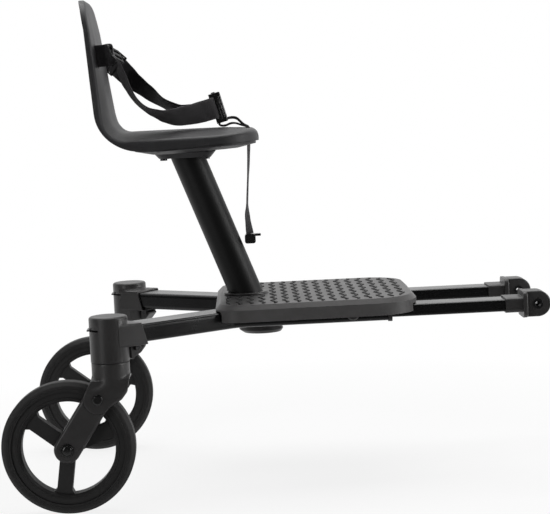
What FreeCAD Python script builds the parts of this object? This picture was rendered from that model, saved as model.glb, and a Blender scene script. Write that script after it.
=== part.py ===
import FreeCAD, Part
import math
import os
from types import SimpleNamespace

import Sketcher

# A ride-on board for the back of a stroller: a deck on two bent tubes, two telescopic arms that hook
# onto the stroller, two sprung castor wheels and a small seat with a lap belt on a leaning post.
# +X points forward, to the stroller; +Y is the rider's left; the tyres stand on Z = 0.
# Lengths are in millimetres and angles in degrees.

SIZES = {
    # Overall layout, forward distances are from the castor swivel axis
    "wheel_track": 350, "hitch_reach": 528.5, "deck_reach": 126, "post_reach": 165, "bend_reach": 150,
    "sleeve_reach": 340, "tube_level": 211.5, "deck_level": 232, "overrun": 5,
    # Clearances
    "slide_gap": 0.3, "part_gap": 0.1, "running_play": 0.05, "press_play": 0.02, "seam_gap": 0.5,
    # Wheel
    "wheel_radius": 80, "tyre_width": 25, "tyre_depth": 12, "tyre_shoulder": 5, "tyre_round": 3,
    "rim_band": 11.8, "rim_width": 21, "rim_lip": 2.5, "hub_radius": 15, "hub_width": 26,
    "spoke_width": 18, "spoke_depth": 13, "spoke_flare": 6, "spoke_angle": 261.5, "spoke_count": 3,
    "bearing_radius": 11, "bearing_width": 7, "axle_radius": 4, "cap_radius": 8, "cap_height": 3.2,
    # Swing legs and yoke
    "trail": 55, "pivot_back": 15.6, "pivot_height": 138.8, "leg_gap": 1.2, "leg_radius": 16,
    "leg_thickness": 8.8, "leg_edge": 3.5, "lap_thickness": 5.2, "ear_thickness": 4.4, "ear_radius": 17,
    "pin_radius": 4, "pin_cap_radius": 6.2, "pin_cap_height": 2.4, "crown_bottom": 161,
    "crown_round": 9, "ear_edge": 4, "buffer_length": 9, "buffer_height": 3.6, "buffer_width": 4.6,
    "nose_back": 8, "nose_ahead": 2, "nose_height": 17.2,
    # Castor housing
    "housing_radius": 23, "housing_bottom": 181, "housing_top": 235, "housing_edge": 3,
    "stem_radius": 8, "stem_top": 227, "bush_wall": 3, "bush_height": 10, "roof_thickness": 5,
    "socket_wall": 2.4, "socket_edge": 2, "socket_top_length": 44, "socket_bottom_length": 52,
    "clip_level": 219.5, "clip_thickness": 1.6, "clip_stand": 2, "slit_height": 2.2, "slit_depth": 12,
    "groove_depth": 1.5, "prong_width": 3,
    "lever_width": 16, "lever_length": 15, "lever_drop": 16.5, "lever_gap": 1.6, "lug_thickness": 3,
    "lever_pin_radius": 2, "lever_pin_drop": 4, "lever_pin_reach": 8,
    # Frame tubes
    "tube_width": 42, "tube_height": 22, "tube_wall": 1.6, "tube_corner": 5, "tube_bend": 60,
    "tube_start": 24, "sleeve_spacing": 140,
    # Telescopic arms and couplings
    "arm_width": 36, "arm_height": 15, "arm_wall": 1.5, "arm_corner": 3, "arm_in_sleeve": 78,
    "glide_length": 14, "guide_length": 38, "guide_collar": 5, "guide_rim": 1.2,
    "arm_push": 45, "arm_pull": 25, "lock_reach": 296, "lock_pin_radius": 3.5, "lock_head_radius": 8,
    "lock_head_height": 3.6, "lock_press": 3,
    "coupling_sleeve": 22, "coupling_wall": 1.8, "coupling_edge": 2, "flange_thickness": 6,
    "flange_height": 33, "flange_width": 44, "flange_edge": 2.5, "lug_radius": 16.2, "lug_width": 28,
    "lug_edge": 2, "lug_neck": 13.5, "eye_radius": 3.6, "eye_wall": 2.4, "eye_lip": 0.8,
    # Deck
    "deck_length": 252, "deck_rear_side": 32, "deck_front_side": 27, "deck_height": 21,
    "deck_wall": 3.5, "deck_top": 4, "deck_bevel": 6, "deck_rear_round": 34, "deck_front_round": 56,
    "notch_gap": 1.5, "boss_radius": 7, "screw_radius": 2.2, "screw_head_radius": 4.5,
    "screw_head_height": 2.5, "screw_bite": 7,
    "tread_pitch": 14.6, "tread_width": 2.6, "tread_height": 0.9, "tread_swing": 3.2, "tread_wave_length": 34,
    "tread_margin": 13,
    # Cross plates and seat post
    "plate_thickness": 4, "plate_drop": 5.5, "rear_plate_length": 96, "front_plate_length": 28,
    "front_plate_reach": 300, "plate_screw_spread": 76,
    "post_radius": 21, "post_wall": 2.5, "post_lean": 20.3, "socket_radius": 26.5, "socket_bottom": 182,
    "socket_floor": 4, "socket_bevel": 4, "collar_height": 3.2,
    # Seat
    "seat_level": 446, "seat_ahead": 104.2, "seat_behind": 76.2, "seat_width": 206, "seat_skirt": 22,
    "seat_wall": 3.5, "crown_flat": 40, "crown_fall": 9, "pan_rise": 4, "seat_front_round": 62, "back_top": 615, "back_lean": 5.8, "seat_shoulder": 6, "back_thickness": 17.5,
    "back_inner_bend": 20, "back_outer_bend": 55, "back_knee": 500, "back_foot_inset": 11,
    "back_head_inset": 33, "back_head_round": 48, "back_side_round": 30,
    "base_drop": 4.5, "base_lip": 4, "base_taper": 22, "base_round": 30, "base_rear_gap": 26,
    "bracket_length": 78, "bracket_width": 92, "bracket_height": 7, "bracket_taper": 6,
    "bracket_round": 14, "seat_screw_run": 54, "seat_screw_spread": 60,
    # Belt
    "belt_width": 27, "belt_thickness": 1.6, "belt_level": 544, "belt_slot_gap": 1.5, "belt_slot_inset": 12,
    "buckle_ahead": 53.2, "buckle_rise": 28.5, "buckle_length": 62, "buckle_height": 34,
    "buckle_depth": 12, "buckle_edge": 3, "buckle_tilt": 15, "strap_bite": 6, "strap_bulge_width": 26,
    "prong_length": 14, "prong_depth": 5, "prong_bite": 5, "prong_stand": 2.4, "prong_press": 2,
    "adjuster_length": 18, "adjuster_height": 34, "adjuster_depth": 6, "adjuster_room": 0.6, "adjuster_round": 2.2,
    "crotch_width": 20, "crotch_ahead": 90.7, "crotch_hump": 15, "crotch_drop": 3,
    "crotch_bend": 4, "tail_length": 110, "tail_width": 12,
    "tail_lean": 2.5, "tail_clip_length": 18, "tail_clip_height": 12, "tail_clip_depth": 14,
    "clip_lever_length": 7, "clip_lever_width": 10, "clip_lever_thickness": 3,
}

doc = FreeCAD.newDocument("buggy_board")
sheet = doc.addObject("Spreadsheet::Sheet", "Sizes")
for row, (alias, number) in enumerate(SIZES.items(), start=1):
    sheet.set(f"A{row}", alias)
    sheet.set(f"B{row}", str(number))
    sheet.setAlias(f"B{row}", alias)
doc.recompute()

Vector = FreeCAD.Vector
Rotation = FreeCAD.Rotation
X_AXIS, Y_AXIS, Z_AXIS = Vector(1, 0, 0), Vector(0, 1, 0), Vector(0, 0, 1)
SIDES = (("left", 1), ("right", -1))
PARALLEL = 0.01  # two directions this close, in radians, count as one
PIECES = []


def formula_of(number):
    """Gives the sheet formula of a size, or a plain number as text."""
    return number.formula if isinstance(number, Size) else f"{number:g}"


class Size(float):
    """A number from the sheet, or worked out from such numbers, that carries its formula."""

    def __new__(cls, value, formula):
        made = super().__new__(cls, value)
        made.formula = formula
        return made

    def __add__(self, other):
        return Size(float(self) + float(other), f"({self.formula} + {formula_of(other)})")

    def __radd__(self, other):
        return Size(float(other) + float(self), f"({formula_of(other)} + {self.formula})")

    def __sub__(self, other):
        return Size(float(self) - float(other), f"({self.formula} - {formula_of(other)})")

    def __rsub__(self, other):
        return Size(float(other) - float(self), f"({formula_of(other)} - {self.formula})")

    def __mul__(self, other):
        return Size(float(self) * float(other), f"({self.formula} * {formula_of(other)})")

    def __rmul__(self, other):
        return Size(float(other) * float(self), f"({formula_of(other)} * {self.formula})")

    def __truediv__(self, other):
        return Size(float(self) / float(other), f"({self.formula} / {formula_of(other)})")

    def __neg__(self):
        return Size(-float(self), f"(-{self.formula})")


def tangent(angle):
    """The tangent of an angle in degrees."""
    return Size(math.tan(math.radians(angle)), f"tan({formula_of(angle)} * 1 deg)")


def distance(run, rise):
    """The straight distance across two square steps."""
    return Size(math.hypot(run, rise), f"hypot({formula_of(run)}; {formula_of(rise)})")


s = SimpleNamespace(**{alias: Size(sheet.get(alias), f"Sizes.{alias}") for alias in SIZES})

# Places that several pieces share
swivel_x = (s.trail + s.wheel_radius - s.hitch_reach - s.lug_radius) / 2
side_y = s.wheel_track / 2
arm_y = s.sleeve_spacing / 2
hitch_x = swivel_x + s.hitch_reach
axle_x = swivel_x - s.trail
pivot_x = swivel_x - s.pivot_back
bend_x = swivel_x + s.bend_reach
sleeve_end_x = swivel_x + s.sleeve_reach
deck_rear_x = swivel_x + s.deck_reach
deck_front_x = deck_rear_x + s.deck_length
deck_low = s.deck_level - s.deck_height
post_x = swivel_x + s.post_reach
tube_top = s.tube_level + s.tube_height / 2
plate_top = tube_top - s.plate_drop + s.plate_thickness
splay = math.degrees(math.atan2(side_y - arm_y, s.bend_reach))
leg_in = s.tyre_width / 2 + s.leg_gap
leg_out = leg_in + s.leg_thickness
ear_in = leg_in + s.lap_thickness + s.slide_gap
ear_out = ear_in + s.ear_thickness
crown_radius = s.housing_radius - s.slide_gap
crown_top = s.housing_bottom - s.seam_gap
bush_radius = s.stem_radius + s.running_play + s.bush_wall
rim_radius = s.wheel_radius - s.tyre_depth
post_turn = Rotation(Y_AXIS, -s.post_lean)
post_axis = post_turn.multVec(Z_AXIS)


# Helpers that make and place objects of the document

def bind(obj, **sizes):
    """Ties an object's properties to the sheet."""
    for name, size in sizes.items():
        if isinstance(size, Size):
            obj.setExpression(name, size.formula)
        else:
            setattr(obj, name, size)


def place(obj, x=0, y=0, z=0, turn=None):
    """Puts an object in its place, tied to the sheet, with a turn about its own origin."""
    obj.Placement = FreeCAD.Placement(Vector(x, y, z), turn or Rotation())
    for axis, size in zip("xyz", (x, y, z)):
        if isinstance(size, Size):
            obj.setExpression(f"Placement.Base.{axis}", size.formula)
    return obj


def piece(obj, label):
    """Marks an object as a sub-part, with the label that names its file."""
    obj.Label = label
    PIECES.append(obj)
    return obj


def cylinder(name, radius, height, x=0, y=0, z=0, turn=None):
    """A cylinder that stands on the given place."""
    obj = doc.addObject("Part::Cylinder", name)
    bind(obj, Radius=radius, Height=height)
    return place(obj, x, y, z, turn)


def box(name, length, width, height, x=0, y=0, z=0, turn=None):
    """A box whose lowest corner is at the given place."""
    obj = doc.addObject("Part::Box", name)
    bind(obj, Length=length, Width=width, Height=height)
    return place(obj, x, y, z, turn)


def join(name, *parts):
    """Several objects as one fused solid."""
    obj = doc.addObject("Part::MultiFuse", name)
    obj.Shapes = list(parts)
    return obj


def cut(name, base, *tools):
    """An object with others taken away from it."""
    obj = doc.addObject("Part::Cut", name)
    obj.Base = base
    obj.Tool = tools[0] if len(tools) == 1 else join(name + "_tools", *tools)
    return obj


def group(name, *parts):
    """Separate solids kept together as one sub-part."""
    obj = doc.addObject("Part::Compound", name)
    obj.Links = list(parts)
    return obj


def solid(name, shape):
    """An object whose shape is worked out here from the sheet's sizes."""
    obj = doc.addObject("Part::Feature", name)
    obj.Shape = shape
    return obj


def new_body(name):
    return doc.addObject("PartDesign::Body", name)


def origin_part(body, role):
    """One of a body's own planes or axes."""
    return next(part for part in body.Origin.OriginFeatures if part.Role == role)


def new_sketch(body, plane, shift=0, turn=None):
    """A sketch on one of the body's own planes, moved along that plane's normal."""
    sketch = body.newObject("Sketcher::SketchObject", f"{body.Name}_sketch")
    sketch.AttachmentSupport = [(origin_part(body, plane), "")]
    sketch.MapMode = "FlatFace"
    sketch.AttachmentOffset = FreeCAD.Placement(Vector(0, 0, shift), turn or Rotation())
    if isinstance(shift, Size):
        sketch.setExpression("AttachmentOffset.Base.z", shift.formula)
    return sketch


def pin_point(sketch, edge, end, x, y):
    """Ties one end of a sketch edge to its distances from the sketch's origin."""
    for kind, value, axis in (("DistanceX", x, -2), ("DistanceY", y, -1)):
        if value == 0:
            sketch.addConstraint(Sketcher.Constraint("PointOnObject", edge, end, axis))
            continue
        ends = (-1, 1, edge, end) if value > 0 else (edge, end, -1, 1)
        size = value if value > 0 else -value
        index = sketch.addConstraint(Sketcher.Constraint(kind, *ends, float(size)))
        if isinstance(size, Size):
            sketch.setExpression(f"Constraints[{index}]", size.formula)


def draw_polygon(sketch, points):
    """A closed outline whose corners are tied to the sheet."""
    first = sketch.GeometryCount
    count = len(points)
    for start, end in zip(points, points[1:] + points[:1]):
        sketch.addGeometry(Part.LineSegment(Vector(*start, 0), Vector(*end, 0)))
    for i in range(count):
        sketch.addConstraint(Sketcher.Constraint("Coincident", first + i, 2, first + (i + 1) % count, 1))
    for i, (x, y) in enumerate(points):
        pin_point(sketch, first + i, 1, x, y)
    return sketch


def draw_rectangle(sketch, low_x, low_y, high_x, high_y):
    """An upright rectangle between two corners."""
    corners = [(low_x, low_y), (high_x, low_y), (high_x, high_y), (low_x, high_y)]
    return draw_polygon(sketch, corners)


def draw_circle(sketch, radius, x=0, y=0):
    """A circle whose centre and radius are tied to the sheet."""
    circle = sketch.addGeometry(Part.Circle(Vector(x, y, 0), Z_AXIS, float(radius)))
    index = sketch.addConstraint(Sketcher.Constraint("Radius", circle, float(radius)))
    sketch.setExpression(f"Constraints[{index}]", radius.formula)
    pin_point(sketch, circle, 3, x, y)
    return sketch


def feature(body, kind, sketch, length=None, both=False, back=False):
    """A pad or a pocket of a sketch; a pocket with no length goes right through."""
    made = body.newObject(f"PartDesign::{kind}", f"{body.Name}_{kind.lower()}")
    made.Profile = sketch
    if length is None:
        made.Type = "ThroughAll"
    else:
        bind(made, Length=length)
    made.SideType = "Symmetric" if both else "One side"
    made.Reversed = back
    doc.recompute()
    return made


def pad(body, sketch, length, both=False, back=False):
    return feature(body, "Pad", sketch, length, both, back)


def pocket(body, sketch, length=None, both=False, back=False):
    return feature(body, "Pocket", sketch, length, both, back)


def revolve(body, sketch, axis):
    """A full turn of a sketch about one of its own axes."""
    made = body.newObject("PartDesign::Revolution", f"{body.Name}_revolution")
    made.Profile = sketch
    made.ReferenceAxis = (sketch, [axis])
    doc.recompute()
    return made


def around(body, originals, axis, count):
    """Copies of features evenly spaced about one of the body's axes."""
    made = body.newObject("PartDesign::PolarPattern", f"{body.Name}_pattern")
    made.Originals = originals
    made.Axis = (origin_part(body, axis), [""])
    bind(made, Occurrences=count)
    body.Tip = made
    doc.recompute()
    return made


def dress(body, kind, size, wanted):
    """A fillet or a chamfer on the edges of the body that a test picks out."""
    base = body.Tip
    names = [f"Edge{i}" for i, edge in enumerate(base.Shape.Edges, start=1) if wanted(edge)]
    made = body.newObject(f"PartDesign::{kind}", f"{body.Name}_{kind.lower()}")
    made.Base = (base, names)
    bind(made, **{"Radius" if kind == "Fillet" else "Size": size})
    doc.recompute()
    return made


def near(value, target):
    return abs(value - target) < s.press_play


def runs_along(edge, axis):
    """True for a straight edge along an axis."""
    ends = edge.Vertexes
    if len(ends) < 2 or not isinstance(edge.Curve, Part.Line):
        return False
    run = ends[1].Point - ends[0].Point
    return run.getAngle(axis) < PARALLEL or run.getAngle(-axis) < PARALLEL


def lies_at(edge, axis, level):
    """True for an edge that lies wholly at one level along an axis ("X", "Y" or "Z")."""
    low, high = getattr(edge.BoundBox, axis + "Min"), getattr(edge.BoundBox, axis + "Max")
    return near(low, level) and near(high, level)


def rounded_wire(points, radii):
    """A closed wire of straight runs with a tangent arc of a given radius at each corner."""
    edges = []
    count = len(points)
    arcs = []
    for i, corner in enumerate(points):
        before = (points[i - 1] - corner).normalize()
        after = (points[(i + 1) % count] - corner).normalize()
        radius = radii[i]
        if radius == 0:
            arcs.append((corner, corner, None))
            continue
        half = before.getAngle(after) / 2
        reach = radius / math.tan(half)
        middle = (before + after).normalize()
        mid = corner + middle * (radius / math.sin(half) - radius)
        arcs.append((corner + before * reach, corner + after * reach, mid))
    for i, (start, end, mid) in enumerate(arcs):
        if mid is not None:
            edges.append(Part.Arc(start, mid, end).toShape())
        following = arcs[(i + 1) % count][0]
        if (following - end).Length > s.press_play:
            edges.append(Part.LineSegment(end, following).toShape())
    return Part.Wire(edges)


def open_path(points, radius):
    """A wire of straight runs with a tangent arc of one radius at each inner corner."""
    edges = []
    start = points[0]
    for before, corner, after in zip(points, points[1:], points[2:]):
        back, ahead = (before - corner).normalize(), (after - corner).normalize()
        half = back.getAngle(ahead) / 2
        reach = radius / math.tan(half)
        middle = corner + (back + ahead).normalize() * (radius / math.sin(half) - radius)
        edges.append(Part.LineSegment(start, corner + back * reach).toShape())
        edges.append(Part.Arc(corner + back * reach, middle, corner + ahead * reach).toShape())
        start = corner + ahead * reach
    return Part.Wire(edges + [Part.LineSegment(start, points[-1]).toShape()])


def prism(points, radii, run):
    """A rounded outline pushed along a vector."""
    return Part.Face(rounded_wire(points, radii)).extrude(run)


# Wheels

def make_tyre(name):
    body = new_body(f"tyre_{name}")
    half = s.tyre_width / 2
    low = rim_radius
    shoulder = s.wheel_radius - s.tyre_shoulder
    tread = half - s.tyre_shoulder
    outline = [(-half, low), (half, low), (half, shoulder), (tread, s.wheel_radius),
               (-tread, s.wheel_radius), (-half, shoulder)]
    revolve(body, draw_polygon(new_sketch(body, "YZ_Plane"), outline), "H_Axis")
    rounded = (float(s.wheel_radius), float(shoulder))
    dress(body, "Fillet", s.tyre_round, lambda edge: isinstance(edge.Curve, Part.Circle)
          and any(near(edge.Curve.Radius, radius) for radius in rounded))
    return body


def make_rim(name):
    body = new_body(f"rim_{name}")
    half = s.rim_width / 2
    outer = rim_radius - s.press_play
    inner = rim_radius - s.rim_band
    lip = inner + s.rim_lip
    waist = half - s.rim_lip
    outline = [(-half, lip), (-waist, inner), (waist, inner), (half, lip), (half, outer), (-half, outer)]
    revolve(body, draw_polygon(new_sketch(body, "YZ_Plane"), outline), "H_Axis")
    spoke = s.spoke_width / 2
    flare = spoke + s.spoke_flare
    root = s.hub_radius / 2
    spoke_points = [(root, -spoke), (inner - s.spoke_flare, -spoke), (lip, -flare), (lip, flare),
                    (inner - s.spoke_flare, spoke), (root, spoke)]
    spokes = pad(body, draw_polygon(new_sketch(body, "XZ_Plane"), spoke_points), s.spoke_depth, both=True)
    around(body, [spokes], "Y_Axis", s.spoke_count)
    pad(body, draw_circle(new_sketch(body, "XZ_Plane"), s.hub_radius), s.hub_width, both=True)
    bearing_seat = s.bearing_radius + s.press_play
    for level, back in ((s.hub_width / 2, False), (-s.hub_width / 2, True)):
        pocket(body, draw_circle(new_sketch(body, "XZ_Plane", level), bearing_seat), s.bearing_width, back=back)
    pocket(body, draw_circle(new_sketch(body, "XZ_Plane"), s.axle_radius + s.slide_gap), both=True)
    return body


def make_bearings(name, y):
    """Two ball bearings, one in each end of the hub."""
    turn = Rotation(X_AXIS, -90)
    rings = []
    for end in (-s.hub_width / 2, s.hub_width / 2 - s.bearing_width):
        at = (axle_x, y + end, s.wheel_radius, turn)
        outside = cylinder(f"bearing_outside_{name}", s.bearing_radius, s.bearing_width, *at)
        inside = cylinder(f"bearing_inside_{name}", s.axle_radius + s.running_play, s.bearing_width, *at)
        rings.append(cut(f"bearing_{name}", outside, inside))
    return group(f"bearings_{name}", *rings)


def make_wheel(name, side):
    y = side_y * side
    wheel_turn = Rotation(Y_AXIS, -s.spoke_angle)
    piece(place(make_tyre(name), axle_x, y, s.wheel_radius, wheel_turn), f"tyre_{name}")
    piece(place(make_rim(name), axle_x, y, s.wheel_radius, wheel_turn), f"rim_{name}")
    piece(make_bearings(name, y), f"wheel_bearings_{name}")


# Swing legs, axle and caps

def dome(name, radius, height, x, y, z, facing):
    """A low domed cap on a flat face that looks along +Y or -Y."""
    body = new_body(name)
    crown_share, shoulder_share = 0.5, 0.75
    crown = height * crown_share
    shoulder = radius * shoulder_share
    outline = [(0, 0), (radius, 0), (radius, crown), (shoulder, height), (0, height)]
    revolve(body, draw_polygon(new_sketch(body, "XZ_Plane"), outline), "V_Axis")
    bevel = (float(crown), float(height))
    dress(body, "Fillet", height / 3, lambda edge: isinstance(edge.Curve, Part.Circle)
          and any(lies_at(edge, "Z", level) for level in bevel))
    return place(body, x, y, z, Rotation(X_AXIS, -90 * facing))


def make_leg(name, facing):
    """One swing leg, drawn along +X from its pivot, with its inner face at Y = 0."""
    body = new_body(f"leg_{name}")
    run, rise = s.trail - s.pivot_back, s.pivot_height - s.wheel_radius
    length = distance(run, rise)
    strip = draw_rectangle(new_sketch(body, "XZ_Plane"), 0, -s.leg_radius, length, s.leg_radius)
    pad(body, strip, s.leg_thickness, back=True)
    for at in (0, length):
        pad(body, draw_circle(new_sketch(body, "XZ_Plane"), s.leg_radius, at), s.leg_thickness, back=True)
    dress(body, "Fillet", s.leg_edge, lambda edge: lies_at(edge, "Y", s.leg_thickness))
    lap_depth = s.leg_thickness - s.lap_thickness
    lap = draw_circle(new_sketch(body, "XZ_Plane", -s.leg_thickness), s.ear_radius + s.slide_gap)
    pocket(body, lap, lap_depth, back=True)
    nose = [(-s.nose_back, s.leg_radius / 2), (s.nose_ahead, s.leg_radius / 2), (s.nose_ahead, s.nose_height),
            (-s.nose_back, s.nose_height)]
    turned = [((x * -run - z * rise) / length, (x * rise - z * run) / length * facing) for x, z in nose]
    pad(body, draw_polygon(new_sketch(body, "XZ_Plane"), turned), s.lap_thickness, back=True)
    pocket(body, draw_circle(new_sketch(body, "XZ_Plane"), s.pin_radius + s.running_play), both=True)
    pocket(body, draw_circle(new_sketch(body, "XZ_Plane"), s.axle_radius + s.press_play, length), both=True)
    return body


def make_swing(name, side):
    y = side_y * side
    drop = math.degrees(math.atan2(s.pivot_height - s.wheel_radius, s.trail - s.pivot_back))
    for where, facing in (("outer", side), ("inner", -side)):
        flip = Rotation(X_AXIS, 0 if facing > 0 else 180)
        turn = Rotation(Y_AXIS, 180 - drop).multiply(flip)
        leg = make_leg(f"{where}_{name}", facing)
        piece(place(leg, pivot_x, y + leg_in * facing, s.pivot_height, turn), f"swing_leg_{where}_{name}")
    lying = Rotation(X_AXIS, -90)
    axle = cylinder(f"axle_{name}", s.axle_radius, leg_out * 2, axle_x, y - leg_out, s.wheel_radius, lying)
    piece(axle, f"axle_{name}")
    caps = [dome(f"axle_cap_{name}", s.cap_radius, s.cap_height, axle_x, y + leg_out * facing,
                 s.wheel_radius, facing) for facing in (1, -1)]
    piece(group(f"axle_caps_{name}", *caps), f"axle_caps_{name}")


# Yoke, pivot pins and buffers

def is_ray(edge, centre):
    """True for an edge in the side view that starts or ends at a centre."""
    return any(near(end.X, centre[0]) and near(end.Z, centre[1]) for end in edge.Vertexes)


def make_yoke(name):
    """The swivelling yoke: stem, round crown and two ears, drawn about the swivel axis."""
    body = new_body(f"yoke_{name}")
    pivot = (-s.pivot_back, s.pivot_height)
    rise = s.crown_bottom - s.pivot_height
    left_shares, right_shares = (-0.82, 0.57), (0.77, -0.64)
    neck_share, chin_shares, jaw_shares = 0.45, (0.57, -0.06), (0.88, 0.35)
    tangent_left = (pivot[0] + s.ear_radius * left_shares[0], pivot[1] + s.ear_radius * left_shares[1])
    tangent_right = (pivot[0] + s.ear_radius * right_shares[0], pivot[1] + s.ear_radius * right_shares[1])
    neck = s.crown_bottom + rise * neck_share
    chin = (crown_radius * chin_shares[0], s.pivot_height + rise * chin_shares[1])
    jaw = (crown_radius * jaw_shares[0], s.pivot_height + rise * jaw_shares[1])
    outline = [(-crown_radius, neck), (-crown_radius, s.crown_bottom), tangent_left, pivot, tangent_right, chin,
               jaw, (crown_radius, s.crown_bottom), (crown_radius, neck)]
    pad(body, draw_polygon(new_sketch(body, "XZ_Plane"), outline), ear_out * 2, both=True)
    kinks = (outline[1], outline[5], outline[6], outline[7])
    dress(body, "Fillet", s.crown_round, lambda edge: runs_along(edge, Y_AXIS) and any(
        near(edge.CenterOfMass.x, x) and near(edge.CenterOfMass.z, z) for x, z in kinks))
    dress(body, "Fillet", s.ear_edge, lambda edge: near(abs(edge.CenterOfMass.y), ear_out)
          and edge.CenterOfMass.z < neck - s.press_play and not is_ray(edge, pivot))
    pad(body, draw_circle(new_sketch(body, "XZ_Plane"), s.ear_radius, *pivot), ear_out * 2, both=True)
    crown = draw_circle(new_sketch(body, "XY_Plane", s.crown_bottom), crown_radius)
    pad(body, crown, crown_top - s.crown_bottom)
    reach = s.housing_radius * 2
    fork = draw_rectangle(new_sketch(body, "XZ_Plane"), -reach, s.crown_bottom - reach, reach, s.crown_bottom)
    pocket(body, fork, ear_in * 2, both=True)
    stem = draw_circle(new_sketch(body, "XY_Plane", crown_top), s.stem_radius)
    pad(body, stem, s.stem_top - crown_top)
    ring = new_sketch(body, "XY_Plane", s.clip_level - s.slit_height / 2)
    draw_circle(ring, s.stem_radius + s.overrun)
    draw_circle(ring, s.stem_radius - s.groove_depth)
    pocket(body, ring, s.slit_height, back=True)
    pocket(body, draw_circle(new_sketch(body, "XZ_Plane"), s.pin_radius + s.press_play, *pivot), both=True)
    return body


def make_pivot_pins(name, side):
    """A stub pin with a domed head through each ear and its leg."""
    y = side_y * side
    pins = []
    for facing in (1, -1):
        shank_turn = Rotation(X_AXIS, -90 * facing)
        shank = cylinder(f"pivot_shank_{name}", s.pin_radius, ear_out - leg_in, pivot_x,
                         y + leg_in * facing, s.pivot_height, shank_turn)
        head = dome(f"pivot_head_{name}", s.pin_cap_radius, s.pin_cap_height, pivot_x,
                    y + ear_out * facing, s.pivot_height, facing)
        pins.append(join(f"pivot_pin_{name}", shank, head))
    return group(f"pivot_pins_{name}", *pins)


def make_buffers(name, side):
    """Rubber bump stops under the crown, above the legs' noses."""
    y = side_y * side
    blocks = []
    inside = leg_in + (s.lap_thickness - s.buffer_width) / 2
    for facing in (1, -1):
        low_y = y + inside if facing > 0 else y - inside - s.buffer_width
        blocks.append(box(f"buffer_{name}", s.buffer_length, s.buffer_width, s.buffer_height,
                          swivel_x - crown_radius, low_y, s.crown_bottom - s.buffer_height))
    return group(f"buffers_{name}", *blocks)


def make_castor(name, side):
    piece(place(make_yoke(name), swivel_x, side_y * side, 0), f"castor_yoke_{name}")
    piece(make_pivot_pins(name, side), f"pivot_pins_{name}")
    piece(make_buffers(name, side), f"suspension_buffers_{name}")


# Castor housings, bushes, clips and release levers

clip_throat = s.stem_radius - s.groove_depth + s.slide_gap
lever_axis_x = s.housing_radius + s.lever_gap + s.lever_pin_reach
lever_axis_z = s.tube_level - s.tube_height / 2 - s.socket_wall - s.lever_pin_drop


def make_housing(name, side):
    """The swivel housing with its arm socket, drawn with the socket along +X."""
    body = new_body(f"housing_{name}")
    round_sketch = draw_circle(new_sketch(body, "XY_Plane", s.housing_bottom), s.housing_radius)
    pad(body, round_sketch, s.housing_top - s.housing_bottom)
    socket_low = s.tube_level - s.tube_height / 2 - s.socket_wall
    socket_high = s.tube_level + s.tube_height / 2 + s.socket_wall
    outline = [(0, socket_low), (s.socket_bottom_length, socket_low), (s.socket_top_length, socket_high),
               (0, socket_high)]
    socket_width = s.tube_width + s.socket_wall * 2
    pad(body, draw_polygon(new_sketch(body, "XZ_Plane"), outline), socket_width, both=True)
    dress(body, "Fillet", s.socket_edge, lambda edge: runs_along(edge, X_AXIS)
          and edge.CenterOfMass.x > s.housing_radius / 2)
    dress(body, "Fillet", s.housing_edge, lambda edge: lies_at(edge, "Z", s.housing_top))
    lug_half = s.lever_width / 2 + s.slide_gap + s.lug_thickness
    lug = [(lever_axis_x - s.lug_thickness, socket_low + s.socket_wall),
           (lever_axis_x - s.lug_thickness, lever_axis_z - s.lug_thickness),
           (lever_axis_x + s.lug_thickness, lever_axis_z - s.lug_thickness),
           (lever_axis_x + s.lug_thickness, socket_low + s.socket_wall)]
    pad(body, draw_polygon(new_sketch(body, "XZ_Plane"), lug), lug_half * 2, both=True)
    gap = draw_rectangle(new_sketch(body, "XZ_Plane"), s.housing_radius + s.slide_gap,
                         s.housing_bottom, s.socket_bottom_length, socket_low)
    pocket(body, gap, s.lever_width + s.slide_gap * 2, both=True)
    pocket(body, draw_circle(new_sketch(body, "XZ_Plane"), s.lever_pin_radius + s.press_play,
                             lever_axis_x, lever_axis_z), both=True)
    half_wide = s.tube_width / 2 + s.part_gap
    half_high = s.tube_height / 2 + s.part_gap
    tube_sketch = draw_rectangle(new_sketch(body, "YZ_Plane", s.tube_start - s.part_gap), -half_wide,
                                 s.tube_level - half_high, half_wide, s.tube_level + half_high)
    pocket(body, tube_sketch, back=True)
    bore = draw_circle(new_sketch(body, "XY_Plane", s.housing_bottom), bush_radius + s.press_play)
    pocket(body, bore, s.housing_top - s.roof_thickness - s.housing_bottom, back=True)
    slit_turn = Rotation(Z_AXIS, splay * side)
    slit = new_sketch(body, "XY_Plane", s.clip_level - s.slit_height / 2, slit_turn)
    reach = s.housing_radius + s.overrun
    draw_rectangle(slit, -reach, -reach, s.slit_depth - s.housing_radius, reach)
    pocket(body, slit, s.slit_height, back=True)
    inner = new_sketch(body, "XY_Plane", s.clip_level - s.slit_height / 2, slit_turn)
    clip_room = clip_throat + s.prong_width + s.slide_gap
    draw_rectangle(inner, -s.housing_radius, -clip_room, s.stem_radius - s.prong_width, clip_room)
    pocket(body, inner, s.slit_height, back=True)
    return body


def make_bushes():
    """Plastic swivel bushes: one above and one below in each housing."""
    rings = []
    levels = (s.housing_bottom + s.seam_gap, s.clip_level - s.slit_height - s.bush_height)
    for name, side in SIDES:
        for level in levels:
            at = (swivel_x, side_y * side, level)
            outside = cylinder(f"bush_outside_{name}", bush_radius, s.bush_height, *at)
            inside = cylinder(f"bush_inside_{name}", s.stem_radius + s.running_play, s.bush_height, *at)
            rings.append(cut(f"swivel_bush_{name}", outside, inside))
    return group("swivel_bushes", *rings)


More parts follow.
